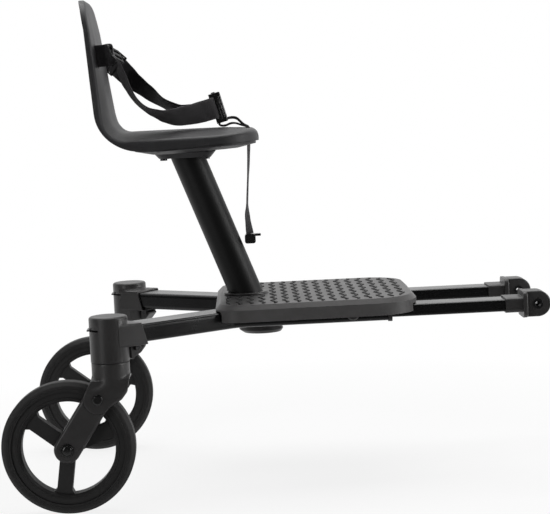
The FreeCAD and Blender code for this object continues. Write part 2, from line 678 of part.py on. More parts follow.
def make_clips():
    """Flat fork clips that hold the stems, pushed in from the rear."""
    clips = []
    throat = clip_throat
    rear = s.housing_radius + s.clip_stand
    wide = (throat + s.prong_width) * 2
    reach = s.stem_radius - s.prong_width - s.slide_gap
    low = s.clip_level - s.clip_thickness / 2
    for name, side in SIDES:
        y = side_y * side
        plate = box(f"clip_plate_{name}", rear + reach, wide, s.clip_thickness,
                    swivel_x - rear, y - wide / 2, low)
        mouth = box(f"clip_mouth_{name}", throat + s.overrun, throat * 2, s.clip_thickness,
                    swivel_x, y - throat, low)
        eye = cylinder(f"clip_eye_{name}", throat, s.clip_thickness, swivel_x, y, low)
        clips.append(cut(f"stem_clip_{name}", plate, mouth, eye))
    return group("stem_clips", *clips)


def make_lever(name):
    """The wedge-shaped release lever under the arm socket, drawn with the arm along +X."""
    body = new_body(f"lever_{name}")
    start = s.housing_radius + s.lever_gap
    heel_share, toe_shares, knuckle_share = 0.6, (0.2, 0.1), 0.4
    top = lever_axis_z + s.lever_pin_drop * heel_share
    low = top - s.lever_drop
    end = start + s.lever_length
    outline = [(start, low + s.lever_drop * toe_shares[1]), (start + s.lever_length * toe_shares[0], low),
               (end, lever_axis_z - s.lever_pin_drop * knuckle_share), (end, lever_axis_z),
               (lever_axis_x + s.lever_pin_radius, top), (start, top)]
    pad(body, draw_polygon(new_sketch(body, "XZ_Plane"), outline), s.lever_width, both=True)
    dress(body, "Fillet", s.lever_pin_radius / 4, lambda edge: near(abs(edge.CenterOfMass.y), s.lever_width / 2))
    pocket(body, draw_circle(new_sketch(body, "XZ_Plane"), s.lever_pin_radius + s.running_play,
                             lever_axis_x, lever_axis_z), both=True)
    return body


def make_lever_pins():
    pins = []
    length = s.lever_width + (s.slide_gap + s.lug_thickness) * 2
    for name, side in SIDES:
        turn = Rotation(Z_AXIS, -splay * side)
        start = turn.multVec(Vector(lever_axis_x, -length / 2, lever_axis_z))
        lying = turn.multiply(Rotation(X_AXIS, -90))
        at = Vector(swivel_x, side_y * side, 0) + start
        pins.append(cylinder(f"lever_pin_{name}", s.lever_pin_radius, length, at.x, at.y, at.z, lying))
    return group("lever_pins", *pins)


def make_housings():
    for name, side in SIDES:
        turn = Rotation(Z_AXIS, -splay * side)
        at = (swivel_x, side_y * side, 0, turn)
        piece(place(make_housing(name, side), *at), f"castor_housing_{name}")
        piece(place(make_lever(name), *at), f"release_lever_{name}")
    piece(make_bushes(), "swivel_bushes")
    piece(make_clips(), "stem_clips")
    piece(make_lever_pins(), "lever_pins")


# Frame tubes, guides and telescopic arms

def tube_path(side):
    """The centre line of a frame tube: splayed arm, bend, then the straight sleeve."""
    swivel = Vector(swivel_x, side_y * side, s.tube_level)
    corner = Vector(bend_x, arm_y * side, s.tube_level)
    end = Vector(sleeve_end_x, arm_y * side, s.tube_level)
    along = (corner - swivel).normalize()
    start = swivel + along * s.tube_start
    turn = math.radians(splay)
    reach = s.tube_bend * math.tan(turn / 2)
    into = corner - along * reach
    out = corner + X_AXIS * reach
    inward = (X_AXIS - along).normalize()
    middle = corner + inward * (s.tube_bend / math.cos(turn / 2) - s.tube_bend)
    edges = [Part.LineSegment(start, into).toShape(), Part.Arc(into, middle, out).toShape(),
             Part.LineSegment(out, end).toShape()]
    return Part.Wire(edges), start, along


def flat_section(centre, along, width, height, corner):
    """A rounded rectangle square to a level direction."""
    across = Z_AXIS.cross(along) * (width / 2)
    up = Z_AXIS * (height / 2)
    points = [centre - across - up, centre + across - up, centre + across + up, centre - across + up]
    return rounded_wire(points, [corner] * len(points))


def make_frame_tube(name, side):
    path, start, along = tube_path(side)
    outer = flat_section(start, along, s.tube_width, s.tube_height, s.tube_corner)
    inner = flat_section(start, along, s.tube_width - s.tube_wall * 2, s.tube_height - s.tube_wall * 2,
                         s.tube_corner - s.tube_wall)
    shape = path.makePipeShell([outer], True, False).cut(path.makePipeShell([inner], True, False))
    hole = Part.makeCylinder(s.lock_pin_radius + s.slide_gap, s.tube_width,
                             Vector(swivel_x + s.lock_reach, arm_y * side, s.tube_level), Y_AXIS * side)
    return solid(f"frame_tube_{name}", shape.cut(hole))


def flat_bar(name, width, height, corner, start_x, end_x):
    """A body: a rounded flat bar along X, centred on Y = 0 and Z = 0."""
    body = new_body(name)
    sketch = new_sketch(body, "YZ_Plane", start_x)
    draw_rectangle(sketch, -width / 2, -height / 2, width / 2, height / 2)
    pad(body, sketch, end_x - start_x)
    dress(body, "Fillet", corner, lambda edge: runs_along(edge, X_AXIS))
    return body


def bar_bore(body, width, height, start_x):
    """A flat rectangular bore that runs forward from a level along X."""
    sketch = new_sketch(body, "YZ_Plane", start_x)
    draw_rectangle(sketch, -width / 2, -height / 2, width / 2, height / 2)
    return pocket(body, sketch, back=True)


def make_guide(name, side):
    """The plastic guide that lines the sleeve's mouth, with its collar."""
    lining_width = s.tube_width - s.tube_wall * 2 - s.part_gap * 2
    lining_height = s.tube_height - s.tube_wall * 2 - s.part_gap * 2
    corner = s.tube_corner - s.tube_wall
    body = flat_bar(f"guide_{name}", lining_width, lining_height, corner, -s.guide_length, s.guide_collar)
    collar = new_sketch(body, "YZ_Plane")
    half_wide = s.tube_width / 2 + s.guide_rim
    half_high = s.tube_height / 2 + s.guide_rim
    draw_rectangle(collar, -half_wide, -half_high, half_wide, half_high)
    pad(body, collar, s.guide_collar)
    dress(body, "Fillet", s.tube_corner, lambda edge: runs_along(edge, X_AXIS)
          and near(abs(edge.CenterOfMass.y), half_wide))
    bar_bore(body, s.arm_width + s.slide_gap * 2, s.arm_height + s.slide_gap * 2, -s.guide_length)
    return place(body, sleeve_end_x, arm_y * side, s.tube_level)


arm_rear_x = sleeve_end_x - s.arm_in_sleeve
flange_x = hitch_x - s.lug_neck - s.flange_thickness


def make_arm(name, side):
    """The flat telescopic arm, with the slot that its lock pin runs in."""
    body = flat_bar(f"arm_{name}", s.arm_width, s.arm_height, s.arm_corner, arm_rear_x, flange_x)
    bar_bore(body, s.arm_width - s.arm_wall * 2, s.arm_height - s.arm_wall * 2, arm_rear_x)
    pin_x = swivel_x + s.lock_reach
    reach = s.lock_pin_radius + s.slide_gap
    slot = new_sketch(body, "XZ_Plane")
    draw_rectangle(slot, pin_x - s.arm_pull - reach, -reach, pin_x + s.arm_push + reach, reach)
    pocket(body, slot, s.arm_width / 2 + s.overrun, back=side < 0)
    return place(body, 0, arm_y * side, s.tube_level)


def make_glide(name, side):
    """The plastic block on the arm's hidden end that runs in the sleeve."""
    inside = s.tube_wall * 2 + s.slide_gap * 2
    corner = s.tube_corner - s.tube_wall
    body = flat_bar(f"glide_{name}", s.tube_width - inside, s.tube_height - inside, corner,
                    arm_rear_x - s.glide_length, arm_rear_x)
    return place(body, 0, arm_y * side, s.tube_level)


def make_lock_button(name, side):
    """The push button on the sleeve's outer side: a round head on a pin."""
    pin_x = swivel_x + s.lock_reach
    face = s.tube_width / 2 + s.lock_press + s.slide_gap
    tip = s.arm_width / 2 - s.arm_wall
    shank_turn = Rotation(X_AXIS, -90 * side)
    shank = cylinder(f"lock_shank_{name}", s.lock_pin_radius, face - tip, pin_x,
                     (arm_y + tip) * side, s.tube_level, shank_turn)
    head = dome(f"lock_head_{name}", s.lock_head_radius, s.lock_head_height, pin_x,
                (arm_y + face) * side, s.tube_level, side)
    return join(f"lock_button_{name}", shank, head)


def make_coupling(name, side):
    """The plastic end fitting: sleeve over the arm, flange and a lug with an eye."""
    sleeve_wide = s.arm_width + (s.coupling_wall + s.part_gap) * 2
    sleeve_high = s.arm_height + (s.coupling_wall + s.part_gap) * 2
    start = flange_x - s.coupling_sleeve
    body = flat_bar(f"coupling_{name}", sleeve_wide, sleeve_high, s.arm_corner + s.coupling_wall, start, flange_x)
    flange = new_sketch(body, "YZ_Plane", flange_x)
    draw_rectangle(flange, -s.flange_width / 2, -s.flange_height / 2, s.flange_width / 2, s.flange_height / 2)
    pad(body, flange, s.flange_thickness)
    dress(body, "Fillet", s.arm_height / 2, lambda edge: runs_along(edge, X_AXIS)
          and near(abs(edge.CenterOfMass.y), s.flange_width / 2))
    dress(body, "Fillet", s.flange_edge, lambda edge: lies_at(edge, "X", flange_x + s.flange_thickness))
    neck = new_sketch(body, "XZ_Plane")
    draw_rectangle(neck, flange_x + s.flange_thickness / 2, -s.lug_radius, hitch_x, s.lug_radius)
    pad(body, neck, s.lug_width, both=True)
    pad(body, draw_circle(new_sketch(body, "XZ_Plane"), s.lug_radius, hitch_x), s.lug_width, both=True)
    dress(body, "Fillet", s.lug_edge, lambda edge: near(abs(edge.CenterOfMass.y), s.lug_width / 2)
          and edge.BoundBox.XMax > hitch_x - s.press_play)
    eye = draw_circle(new_sketch(body, "XZ_Plane"), s.eye_radius + s.eye_wall + s.press_play, hitch_x)
    pocket(body, eye, both=True)
    bore = new_sketch(body, "YZ_Plane", flange_x)
    half_wide, half_high = s.arm_width / 2 + s.part_gap, s.arm_height / 2 + s.part_gap
    draw_rectangle(bore, -half_wide, -half_high, half_wide, half_high)
    pocket(body, bore, s.coupling_sleeve + s.overrun)
    return place(body, 0, arm_y * side, s.tube_level)


def make_eye_bush(name, side):
    """The metal bush in the lug's eye, standing a little proud of both faces."""
    length = s.lug_width + s.eye_lip * 2
    at = (hitch_x, arm_y * side - length / 2, s.tube_level, Rotation(X_AXIS, -90))
    outside = cylinder(f"eye_outside_{name}", s.eye_radius + s.eye_wall, length, *at)
    inside = cylinder(f"eye_inside_{name}", s.eye_radius, length, *at)
    return cut(f"eye_bush_{name}", outside, inside)


def make_arms():
    for name, side in SIDES:
        piece(make_frame_tube(name, side), f"frame_tube_{name}")
        piece(make_arm(name, side), f"front_arm_{name}")
        piece(make_glide(name, side), f"arm_glide_{name}")
        piece(make_lock_button(name, side), f"arm_lock_button_{name}")
        piece(make_coupling(name, side), f"coupling_{name}")
        piece(make_eye_bush(name, side), f"coupling_bush_{name}")
    piece(group("sleeve_guides", *[make_guide(name, side) for name, side in SIDES]), "sleeve_guides")


# Deck, tread, cross plates and screws

screw_rear_x = deck_rear_x + s.deck_wall + s.boss_radius * 2
screw_front_x = swivel_x + s.front_plate_reach + s.front_plate_length / 2
SCREW_PLACES = [(x, s.plate_screw_spread / 2 * way) for x in (screw_rear_x, screw_front_x) for way in (1, -1)]


def along_post(level):
    """The point of the post's axis at a height."""
    return Vector(post_x, 0, s.deck_level) + post_axis * ((level - s.deck_level) / post_axis.z)


sleeve_side = s.sleeve_spacing / 2 + s.tube_width / 2


def deck_outline(inset):
    """The deck's plan: a slightly tapered rectangle, drawn in by an inset."""
    rear = sleeve_side + s.deck_rear_side - inset
    front = sleeve_side + s.deck_front_side - inset
    return [(deck_rear_x + inset, -rear), (deck_front_x - inset, -front), (deck_front_x - inset, front),
            (deck_rear_x + inset, rear)]


def upright_at(edge, x):
    return runs_along(edge, Z_AXIS) and near(edge.CenterOfMass.x, x)


def deck_block():
    """The deck's outside: a rounded plan with a bevelled rim."""
    body = new_body("deck")
    pad(body, draw_polygon(new_sketch(body, "XY_Plane", deck_low), deck_outline(0)), s.deck_height)
    dress(body, "Fillet", s.deck_rear_round, lambda edge: upright_at(edge, deck_rear_x))
    dress(body, "Fillet", s.deck_front_round, lambda edge: upright_at(edge, deck_front_x))
    dress(body, "Chamfer", s.deck_bevel, lambda edge: lies_at(edge, "Z", s.deck_level))
    return body.Shape


def make_deck_shell():
    """The moulded deck: skirt, hollow underside, screw bosses and room for tubes, arms and post."""
    radii = [s.deck_rear_round - s.deck_bevel, s.deck_front_round - s.deck_bevel,
             s.deck_front_round - s.deck_bevel, s.deck_rear_round - s.deck_bevel]
    corners = [Vector(x, y, deck_low) for x, y in deck_outline(s.deck_wall + s.deck_bevel)]
    shape = deck_block().cut(prism(corners, radii, Z_AXIS * (s.deck_height - s.deck_top)))
    boss_low = plate_top
    for x, y in SCREW_PLACES:
        boss = Part.makeCylinder(s.boss_radius, s.deck_level - s.deck_top / 2 - boss_low, Vector(x, y, boss_low))
        hole = Part.makeCylinder(s.screw_radius, s.screw_bite, Vector(x, y, boss_low))
        shape = shape.fuse(boss).cut(hole)
    for name, side in SIDES:
        path, start, along = tube_path(side)
        room = s.notch_gap * 2
        notch = flat_section(start, along, s.tube_width + room, s.tube_height + room, s.tube_corner)
        arm_room = Part.makeBox(s.deck_length, s.arm_width + room, s.tube_height + room,
                                Vector(sleeve_end_x, arm_y * side - s.arm_width / 2 - s.notch_gap,
                                       s.tube_level - s.tube_height / 2 - s.notch_gap))
        arm_top = s.tube_level + s.arm_height / 2 + s.notch_gap
        roof = Part.makeBox(s.deck_length, s.arm_width + room, s.tube_height,
                            Vector(sleeve_end_x, arm_y * side - s.arm_width / 2 - s.notch_gap, arm_top))
        collar_room = Part.makeBox(s.guide_collar + room, s.tube_width + (s.guide_rim + s.notch_gap) * 2,
                                   s.tube_height + (s.guide_rim + s.notch_gap) * 2,
                                   Vector(sleeve_end_x - s.notch_gap,
                                          arm_y * side - s.tube_width / 2 - s.guide_rim - s.notch_gap,
                                          s.tube_level - s.tube_height / 2 - s.guide_rim - s.notch_gap))
        shape = shape.cut(path.makePipeShell([notch], True, False)).cut(arm_room.cut(roof)).cut(collar_room)
    shape = shape.cut(leaning_rod(s.socket_radius + s.part_gap, s.socket_bottom, s.deck_level + s.overrun))
    return solid("deck_shell", shape.removeSplitter())


def leaning_rod(radius, low, high):
    """A rod along the post's axis, cut level at two heights."""
    reach = radius * 2
    base = along_post(low) - post_axis * reach
    length = (high - low) / post_axis.z + reach * 2
    rod = Part.makeCylinder(radius, length, base, post_axis)
    span = length * 2
    slab = Part.makeBox(span * 2, span * 2, high - low, Vector(post_x - span, -span, low))
    return rod.common(slab)


def make_tread():
    """Zigzag anti-slip ridges in rows across the deck."""
    rows = []
    margin = s.tread_margin
    rear = deck_rear_x + margin
    count = int((s.deck_length - margin * 2) // s.tread_pitch) + 1
    half = sleeve_side + max(s.deck_rear_side, s.deck_front_side)
    waves = int(half * 2 // s.tread_wave_length) + 1
    field = prism([Vector(x, y, s.deck_level) for x, y in deck_outline(margin)],
                  [s.deck_rear_round - margin, s.deck_front_round - margin, s.deck_front_round - margin,
                   s.deck_rear_round - margin], Z_AXIS * s.tread_height)
    field = field.cut(leaning_rod(s.socket_radius + s.slide_gap, s.deck_level, s.deck_level + s.tread_height))
    for row in range(count):
        x = rear + row * s.tread_pitch
        steps = range(-waves, waves + 1)
        bends = [Vector(x + s.tread_swing * (-1) ** step, step * s.tread_wave_length / 2, s.deck_level) for step in steps]
        width = X_AXIS * s.tread_width
        ring = bends + [bend + width for bend in reversed(bends)]
        ridge = Part.Face(Part.makePolygon(ring + ring[:1])).extrude(Z_AXIS * s.tread_height)
        rows += [part for part in ridge.common(field).Solids if part.Volume > s.tread_width ** 3]
    return solid("deck_tread", Part.makeCompound(rows))


def make_plate(start_x, length):
    """A cross plate between the sleeves, with its screw holes."""
    span = s.sleeve_spacing - s.tube_width
    plate = Part.makeBox(length, span, s.plate_thickness,
                         Vector(start_x, -span / 2, plate_top - s.plate_thickness))
    for x, y in SCREW_PLACES:
        plate = plate.cut(Part.makeCylinder(s.screw_radius + s.part_gap, s.plate_thickness,
                                            Vector(x, y, plate_top - s.plate_thickness)))
    return plate.cut(leaning_rod(s.socket_radius, s.socket_bottom, s.deck_level))


def make_screws():
    """Pan-head screws up through the cross plates into the deck's bosses."""
    screws = []
    for number, (x, y) in enumerate(SCREW_PLACES):
        low = plate_top - s.plate_thickness
        shank = cylinder(f"deck_screw_shank_{number}", s.screw_radius - s.press_play,
                         s.plate_thickness + s.screw_bite - s.part_gap, x, y, low)
        head = cylinder(f"deck_screw_head_{number}", s.screw_head_radius, s.screw_head_height, x, y,
                        low - s.screw_head_height)
        screws.append(join(f"deck_screw_{number}", shank, head))
    return group("deck_screws", *screws)


def make_post_socket():
    """The leaning socket through the deck, with a closed and bevelled bottom and a rounded top rim."""
    top = s.deck_level + s.collar_height
    shape = leaning_rod(s.socket_radius, s.socket_bottom, top)
    shape = shape.makeChamfer(s.socket_bevel, [edge for edge in shape.Edges if lies_at(edge, "Z", s.socket_bottom)])
    shape = shape.makeFillet(s.collar_height / 3, [edge for edge in shape.Edges if lies_at(edge, "Z", top)])
    inside = leaning_rod(s.post_radius + s.slide_gap, s.socket_bottom + s.socket_floor, top + s.overrun)
    return solid("post_socket", shape.cut(inside))


def make_board():
    piece(make_deck_shell(), "deck_shell")
    piece(make_tread(), "deck_tread")
    rear_plate = make_plate(screw_rear_x - s.boss_radius, s.rear_plate_length)
    piece(solid("cross_plate_rear", rear_plate), "cross_plate_rear")
    front_plate = make_plate(swivel_x + s.front_plate_reach, s.front_plate_length)
    piece(solid("cross_plate_front", front_plate), "cross_plate_front")
    piece(make_screws(), "deck_screws")
    piece(make_post_socket(), "post_socket")


# Seat post, bracket, base and shell

seat_low = s.seat_level - s.seat_skirt
base_low = seat_low - s.base_drop
bracket_low = base_low - s.bracket_height
post_head_level = base_low + s.base_drop / 2
seat_x = post_x - (s.seat_level - s.deck_level) * tangent(s.post_lean)
pan_front_x = seat_x + s.seat_ahead
back_foot_x = seat_x - s.seat_behind
pan_under = s.seat_level - s.seat_wall
bracket_x = along_post(base_low).x
SEAT_SCREWS = [(bracket_x + s.seat_screw_run / 2 * ahead, s.seat_screw_spread / 2 * way)
               for ahead in (1, -1) for way in (1, -1)]


def make_post():
    """The leaning seat post: a round tube between its socket and its bracket."""
    low, high = s.socket_bottom + s.socket_floor + s.slide_gap, post_head_level
    tube = leaning_rod(s.post_radius, low, high).cut(leaning_rod(s.post_radius - s.post_wall, low, high))
    return solid("seat_post", tube)


def level_outline(low_x, high_x, half, level, radii):
    """A rounded level rectangle between two forward limits; radii start at the right rear corner."""
    points = [Vector(low_x, -half, level), Vector(high_x, -half, level), Vector(high_x, half, level),
              Vector(low_x, half, level)]
    return rounded_wire(points, radii)


def make_bracket():
    """The tapered block under the seat that the post plugs into."""
    half_x, half_y = s.bracket_length / 2, s.bracket_width / 2
    top = level_outline(bracket_x - half_x, bracket_x + half_x, half_y, base_low, [s.bracket_round] * 4)
    inset = s.bracket_taper
    foot = level_outline(bracket_x - half_x + inset, bracket_x + half_x - inset, half_y - inset, bracket_low,
                         [s.bracket_round] * 4)
    block = Part.makeLoft([foot, top], True, True)
    block = block.cut(leaning_rod(s.post_radius + s.press_play, bracket_low - s.overrun, base_low + s.overrun))
    return solid("seat_bracket", drill_seat(block, bracket_low - s.overrun, base_low + s.overrun))


def drill_seat(shape, low, high):
    """Takes the seat screws' clearance holes out of a shape."""
    for x, y in SEAT_SCREWS:
        shape = shape.cut(Part.makeCylinder(s.screw_radius + s.part_gap, high - low, Vector(x, y, low)))
    return shape


def base_block(lift, inset):
    """The seat base's bulging block, raised and drawn in for its inside."""
    drawn_in = s.seat_wall + s.slide_gap + inset

    def outline(level, more):
        rear = back_foot_x + s.base_rear_gap + inset + more
        front = pan_front_x - drawn_in - more
        rear_round, front_round = s.base_round - inset - more, s.seat_front_round - drawn_in - more
        return level_outline(rear, front, s.seat_width / 2 - drawn_in - more, level + lift,
                             [rear_round, front_round, front_round, rear_round])

    rim, belly = outline(seat_low, 0), outline(base_low, s.base_taper)
    lip = Part.Face(rim).extrude(Z_AXIS * s.base_lip)
    return Part.makeLoft([belly, rim], True, True).fuse(lip)


def make_base():
    """The cover that closes the seat pan from below."""
    shell = base_block(0, 0).cut(base_block(s.seat_wall, s.seat_wall))
    for x, y in SEAT_SCREWS:
        shell = shell.fuse(Part.makeCylinder(s.boss_radius, s.base_drop + s.base_lip, Vector(x, y, base_low)))
    shell = shell.cut(leaning_rod(s.post_radius + s.press_play, base_low - s.overrun, s.seat_level))
    shell = drill_seat(shell, base_low - s.overrun, s.seat_level)
    slot_wide = s.belt_thickness + s.belt_slot_gap * 2
    crotch_wide = s.crotch_width + s.belt_slot_gap * 2
    slot = Part.makeBox(slot_wide, crotch_wide, s.seat_skirt * 2,
                        Vector(crotch_x - slot_wide / 2, -crotch_wide / 2, base_low - s.overrun))
    return solid("seat_base", shell.cut(slot).removeSplitter())


def make_seat_screws():
    """Pan-head screws up through bracket and base into the seat's bosses."""
    screws = []
    length = seat_low + s.base_lip - bracket_low + s.screw_bite
    for number, (x, y) in enumerate(SEAT_SCREWS):
        shank = cylinder(f"seat_screw_shank_{number}", s.screw_radius - s.press_play, length, x, y, bracket_low)
        head = cylinder(f"seat_screw_head_{number}", s.screw_head_radius, s.screw_head_height, x, y,
                        bracket_low - s.screw_head_height)
        screws.append(join(f"seat_screw_{number}", shank, head))
    return group("seat_screws", *screws)


def back_point(level, depth):
    """A point of the backrest in the side view: at a height, a depth behind its front face."""
    lean = math.tan(math.radians(s.back_lean))
    return Vector(back_foot_x - (level - s.seat_level) * lean - depth, 0, level)


def side_outline(wall):
    """The seat's side view, pan and backrest in one bent band, proud of the side that is sat on."""
    top = s.seat_level - wall + s.overrun
    low = seat_low - (s.overrun if wall else 0)
    behind = s.back_thickness + (s.overrun if wall else 0)
    high = s.back_top - wall
    front = wall - s.overrun
    points = [Vector(pan_front_x - wall, 0, low + s.pan_rise), Vector(pan_front_x - wall, 0, top),
              back_point(top, front), back_point(high, front), back_point(high, behind), back_point(low, behind)]
    return points, [0, 0, s.back_inner_bend + front, 0, 0, s.back_outer_bend]


def crown_path(wall):
    """The line up the middle of the side that is sat on, from ahead of the pan to above the backrest."""
    level = s.seat_level - wall
    return open_path([Vector(pan_front_x + s.overrun, 0, level), back_point(level, wall),
                      back_point(s.back_top + s.overrun, wall)], s.back_inner_bend + wall)


def crown_edges(wall):
    """The crown across the seat: flat in the middle, falling away to both sides on one arc."""
    run = s.seat_width / 2 - s.crown_flat
    radius = (run * run + s.crown_fall * s.crown_fall) / (s.crown_fall * 2) - wall
    turn = math.asin((run + s.overrun) / radius)

    def at(angle, side):
        return Vector(pan_front_x + s.overrun, side * (s.crown_flat + radius * math.sin(angle)),
                      s.seat_level - wall - radius * (1 - math.cos(angle)))

    arcs = [Part.Arc(at(turn, side), at(turn / 2, side), at(0, side)).toShape() for side in (1, -1)]
    flat = Part.LineSegment(at(0, 1), at(0, -1)).toShape()
    deep = Z_AXIS * (s.seat_skirt * 3)
    foot = Part.makePolygon([at(turn, -1), at(turn, -1) - deep, at(turn, 1) - deep, at(turn, 1)])
    return [arcs[0], flat, arcs[1]], foot.Edges


def seat_mask(wall):
    """The seat's plan and front view, as two prisms that trim the bent band."""
    half = s.seat_width / 2 - wall
    rear = back_foot_x - (s.back_top - s.seat_level)
    low, high = s.seat_level - s.seat_skirt * 2, s.back_top + s.overrun
    plan = level_outline(rear, pan_front_x - wall, half, low,
                         [0, s.seat_front_round - wall, s.seat_front_round - wall, 0])
    plan_prism = Part.Face(plan).extrude(Z_AXIS * (high - low))
    foot, head = half - s.back_foot_inset, half - s.back_head_inset
    top = s.back_top - wall
    front = [(half, low), (half, s.seat_level + s.seat_wall - wall), (foot, s.back_knee), (head, top)]
    ring = [Vector(rear, y, z) for y, z in front] + [Vector(rear, -y, z) for y, z in reversed(front)]
    soft = s.back_side_round
    head_round = s.back_head_round - wall
    front_prism = prism(ring, [0, soft, soft, head_round, head_round, soft, soft, 0],
                        X_AXIS * (pan_front_x - rear + s.overrun))
    return plan_prism.common(front_prism)


def middle_of(face):
    """The place at the middle of a face's own two directions."""
    low_u, high_u, low_v, high_v = face.ParameterRange
    return face.valueAt((low_u + high_u) / 2, (low_v + high_v) / 2)


def bent_band(wall):
    """The seat's outside, or with a wall the room inside it, with the rim of its crowned side rounded."""
    points, radii = side_outline(wall)
    wide = s.seat_width + s.overrun * 2
    shifted = [point - Y_AXIS * (wide / 2) for point in points]
    crown, foot = crown_edges(wall)
    path = crown_path(wall)
    block = path.makePipeShell([Part.Wire(crown + foot)], True, False)
    band = prism(shifted, radii, Y_AXIS * wide).common(block).common(seat_mask(wall)).removeSplitter()
    sat_on = path.makePipeShell([Part.Wire(crown)], False, False)
    fronts = [face for face in band.Faces
              if near(sat_on.distToShape(Part.Vertex(middle_of(face)))[0], 0)]
    edges = [edge for face in fronts for edge in face.Edges]
    rim = [edge for edge in edges if sum(edge.isSame(other) for other in edges) == 1]
    return band.makeFillet(s.seat_shoulder - wall, rim)


crotch_x = seat_x + s.crotch_ahead
strap_foot_x = crotch_x + s.belt_slot_gap - s.part_gap
belt_slot_y = s.seat_width / 2 - s.back_head_inset - s.belt_slot_inset


def make_seat():
    """The one-piece moulded seat: pan and backrest with a skirt all round, open behind and below."""
    shape = bent_band(0).cut(bent_band(s.seat_wall))
    boss_low = seat_low + s.base_lip
    for x, y in SEAT_SCREWS:
        boss = Part.makeCylinder(s.boss_radius, pan_under + s.seat_wall / 2 - boss_low, Vector(x, y, boss_low))
        hole = Part.makeCylinder(s.screw_radius, s.screw_bite, Vector(x, y, boss_low))
        shape = shape.fuse(boss).cut(hole)
    slot_deep = s.back_thickness * 4
    slot_high = s.belt_width + s.belt_slot_gap * 2
    slot_wide = s.belt_thickness + s.belt_slot_gap * 2
    at = back_point(s.belt_level, 0)
    for name, side in SIDES:
        corner = Vector(at.x - slot_deep / 2, belt_slot_y * side - slot_wide / 2, s.belt_level - slot_high / 2)
        shape = shape.cut(Part.makeBox(slot_deep, slot_wide, slot_high, corner))
    crotch_wide = s.crotch_width + s.belt_slot_gap * 2
    corner = Vector(crotch_x - slot_wide / 2, -crotch_wide / 2, seat_low)
    shape = shape.cut(Part.makeBox(slot_wide, crotch_wide, s.seat_skirt * 2, corner))
    return solid("seat_shell", shape.removeSplitter())


# Lap belt

buckle_x = seat_x + s.buckle_ahead
buckle_z = s.seat_level + s.buckle_rise
buckle_turn = Rotation(Y_AXIS, -s.buckle_tilt)
buckle_up = buckle_turn.multVec(Z_AXIS)
buckle_centre = Vector(buckle_x, 0, buckle_z)


def ribbon(stations, width, thickness):
    """A flat strap along a line of places, each with its width's direction and, if set, its own direction."""
    sections = []
    last = len(stations) - 1
    for i, (at, width_way, run) in enumerate(stations):
        along = run or stations[min(i + 1, last)][0] - stations[max(i - 1, 0)][0]
        flat = along.cross(width_way).normalize() * (thickness / 2)
        wide = flat.cross(along).normalize() * (width / 2)
        ring = [at - wide - flat, at + wide - flat, at + wide + flat, at - wide + flat]
        sections.append(Part.makePolygon(ring + ring[:1]))
    return Part.makeLoft(sections, True, True)


def lap_stations(side):
    """The lap strap's line from its slot in the backrest to the buckle's end."""
    behind = back_point(s.belt_level, s.seat_wall + s.strap_bite)
    mouth = back_point(s.belt_level, -s.strap_bite)
    behind.y = mouth.y = belt_slot_y
    half = s.buckle_length / 2
    gate, end = buckle_centre + Y_AXIS * (half + s.strap_bite), buckle_centre + Y_AXIS * (half - s.strap_bite)
    run, drop = gate.x - mouth.x, mouth.z - gate.z
    line = [(behind, Z_AXIS, X_AXIS), (mouth, Z_AXIS, X_AXIS)]
    sag_shares = ((0.08, 0.01, 0.35), (0.22, 0.25, 0.85), (0.38, 0.66, 1), (0.53, 0.97, 0.85), (0.67, 1.1, 0.55),
                  (0.82, 1.1, 0.2))
    for run_share, drop_share, bulge_share in sag_shares:
        y = mouth.y + (gate.y - mouth.y) * run_share + s.strap_bulge_width * bulge_share
        line.append((Vector(mouth.x + run * run_share, y, mouth.z - drop * drop_share), Z_AXIS, None))
    line += [(gate, buckle_up, -Y_AXIS), (end, buckle_up, -Y_AXIS)]
    straight = line[3][0] - line[2][0]
    line[2:4] = [(at, way, straight) for at, way, run in line[2:4]]
    mirror = FreeCAD.Matrix(1, 0, 0, 0, 0, side, 0, 0, 0, 0, 1, 0)
    return [(mirror * at, way, run and mirror * run) for at, way, run in line]


def make_adjuster(side):
    """A slider round the strap near its slot."""
    stations = lap_stations(side)
    first, second = stations[2][0], stations[3][0]
    along = (second - first).normalize()
    across = along.cross(Z_AXIS).normalize()
    up = across.cross(along)
    middle = (first + second) / 2

    def block(length, height, depth):
        corner = middle - along * (length / 2) - up * (height / 2) - across * (depth / 2)
        ring = [corner, corner + along * length, corner + along * length + up * height, corner + up * height]
        return Part.Face(Part.makePolygon(ring + ring[:1])).extrude(across * depth)

    room = s.adjuster_room * 2
    sleeve = block(s.adjuster_length, s.adjuster_height, s.adjuster_depth)
    sleeve = sleeve.makeFillet(s.adjuster_round, sleeve.Edges)
    return sleeve.cut(block(s.adjuster_length + s.overrun * 2, s.belt_width + room, s.belt_thickness + room))


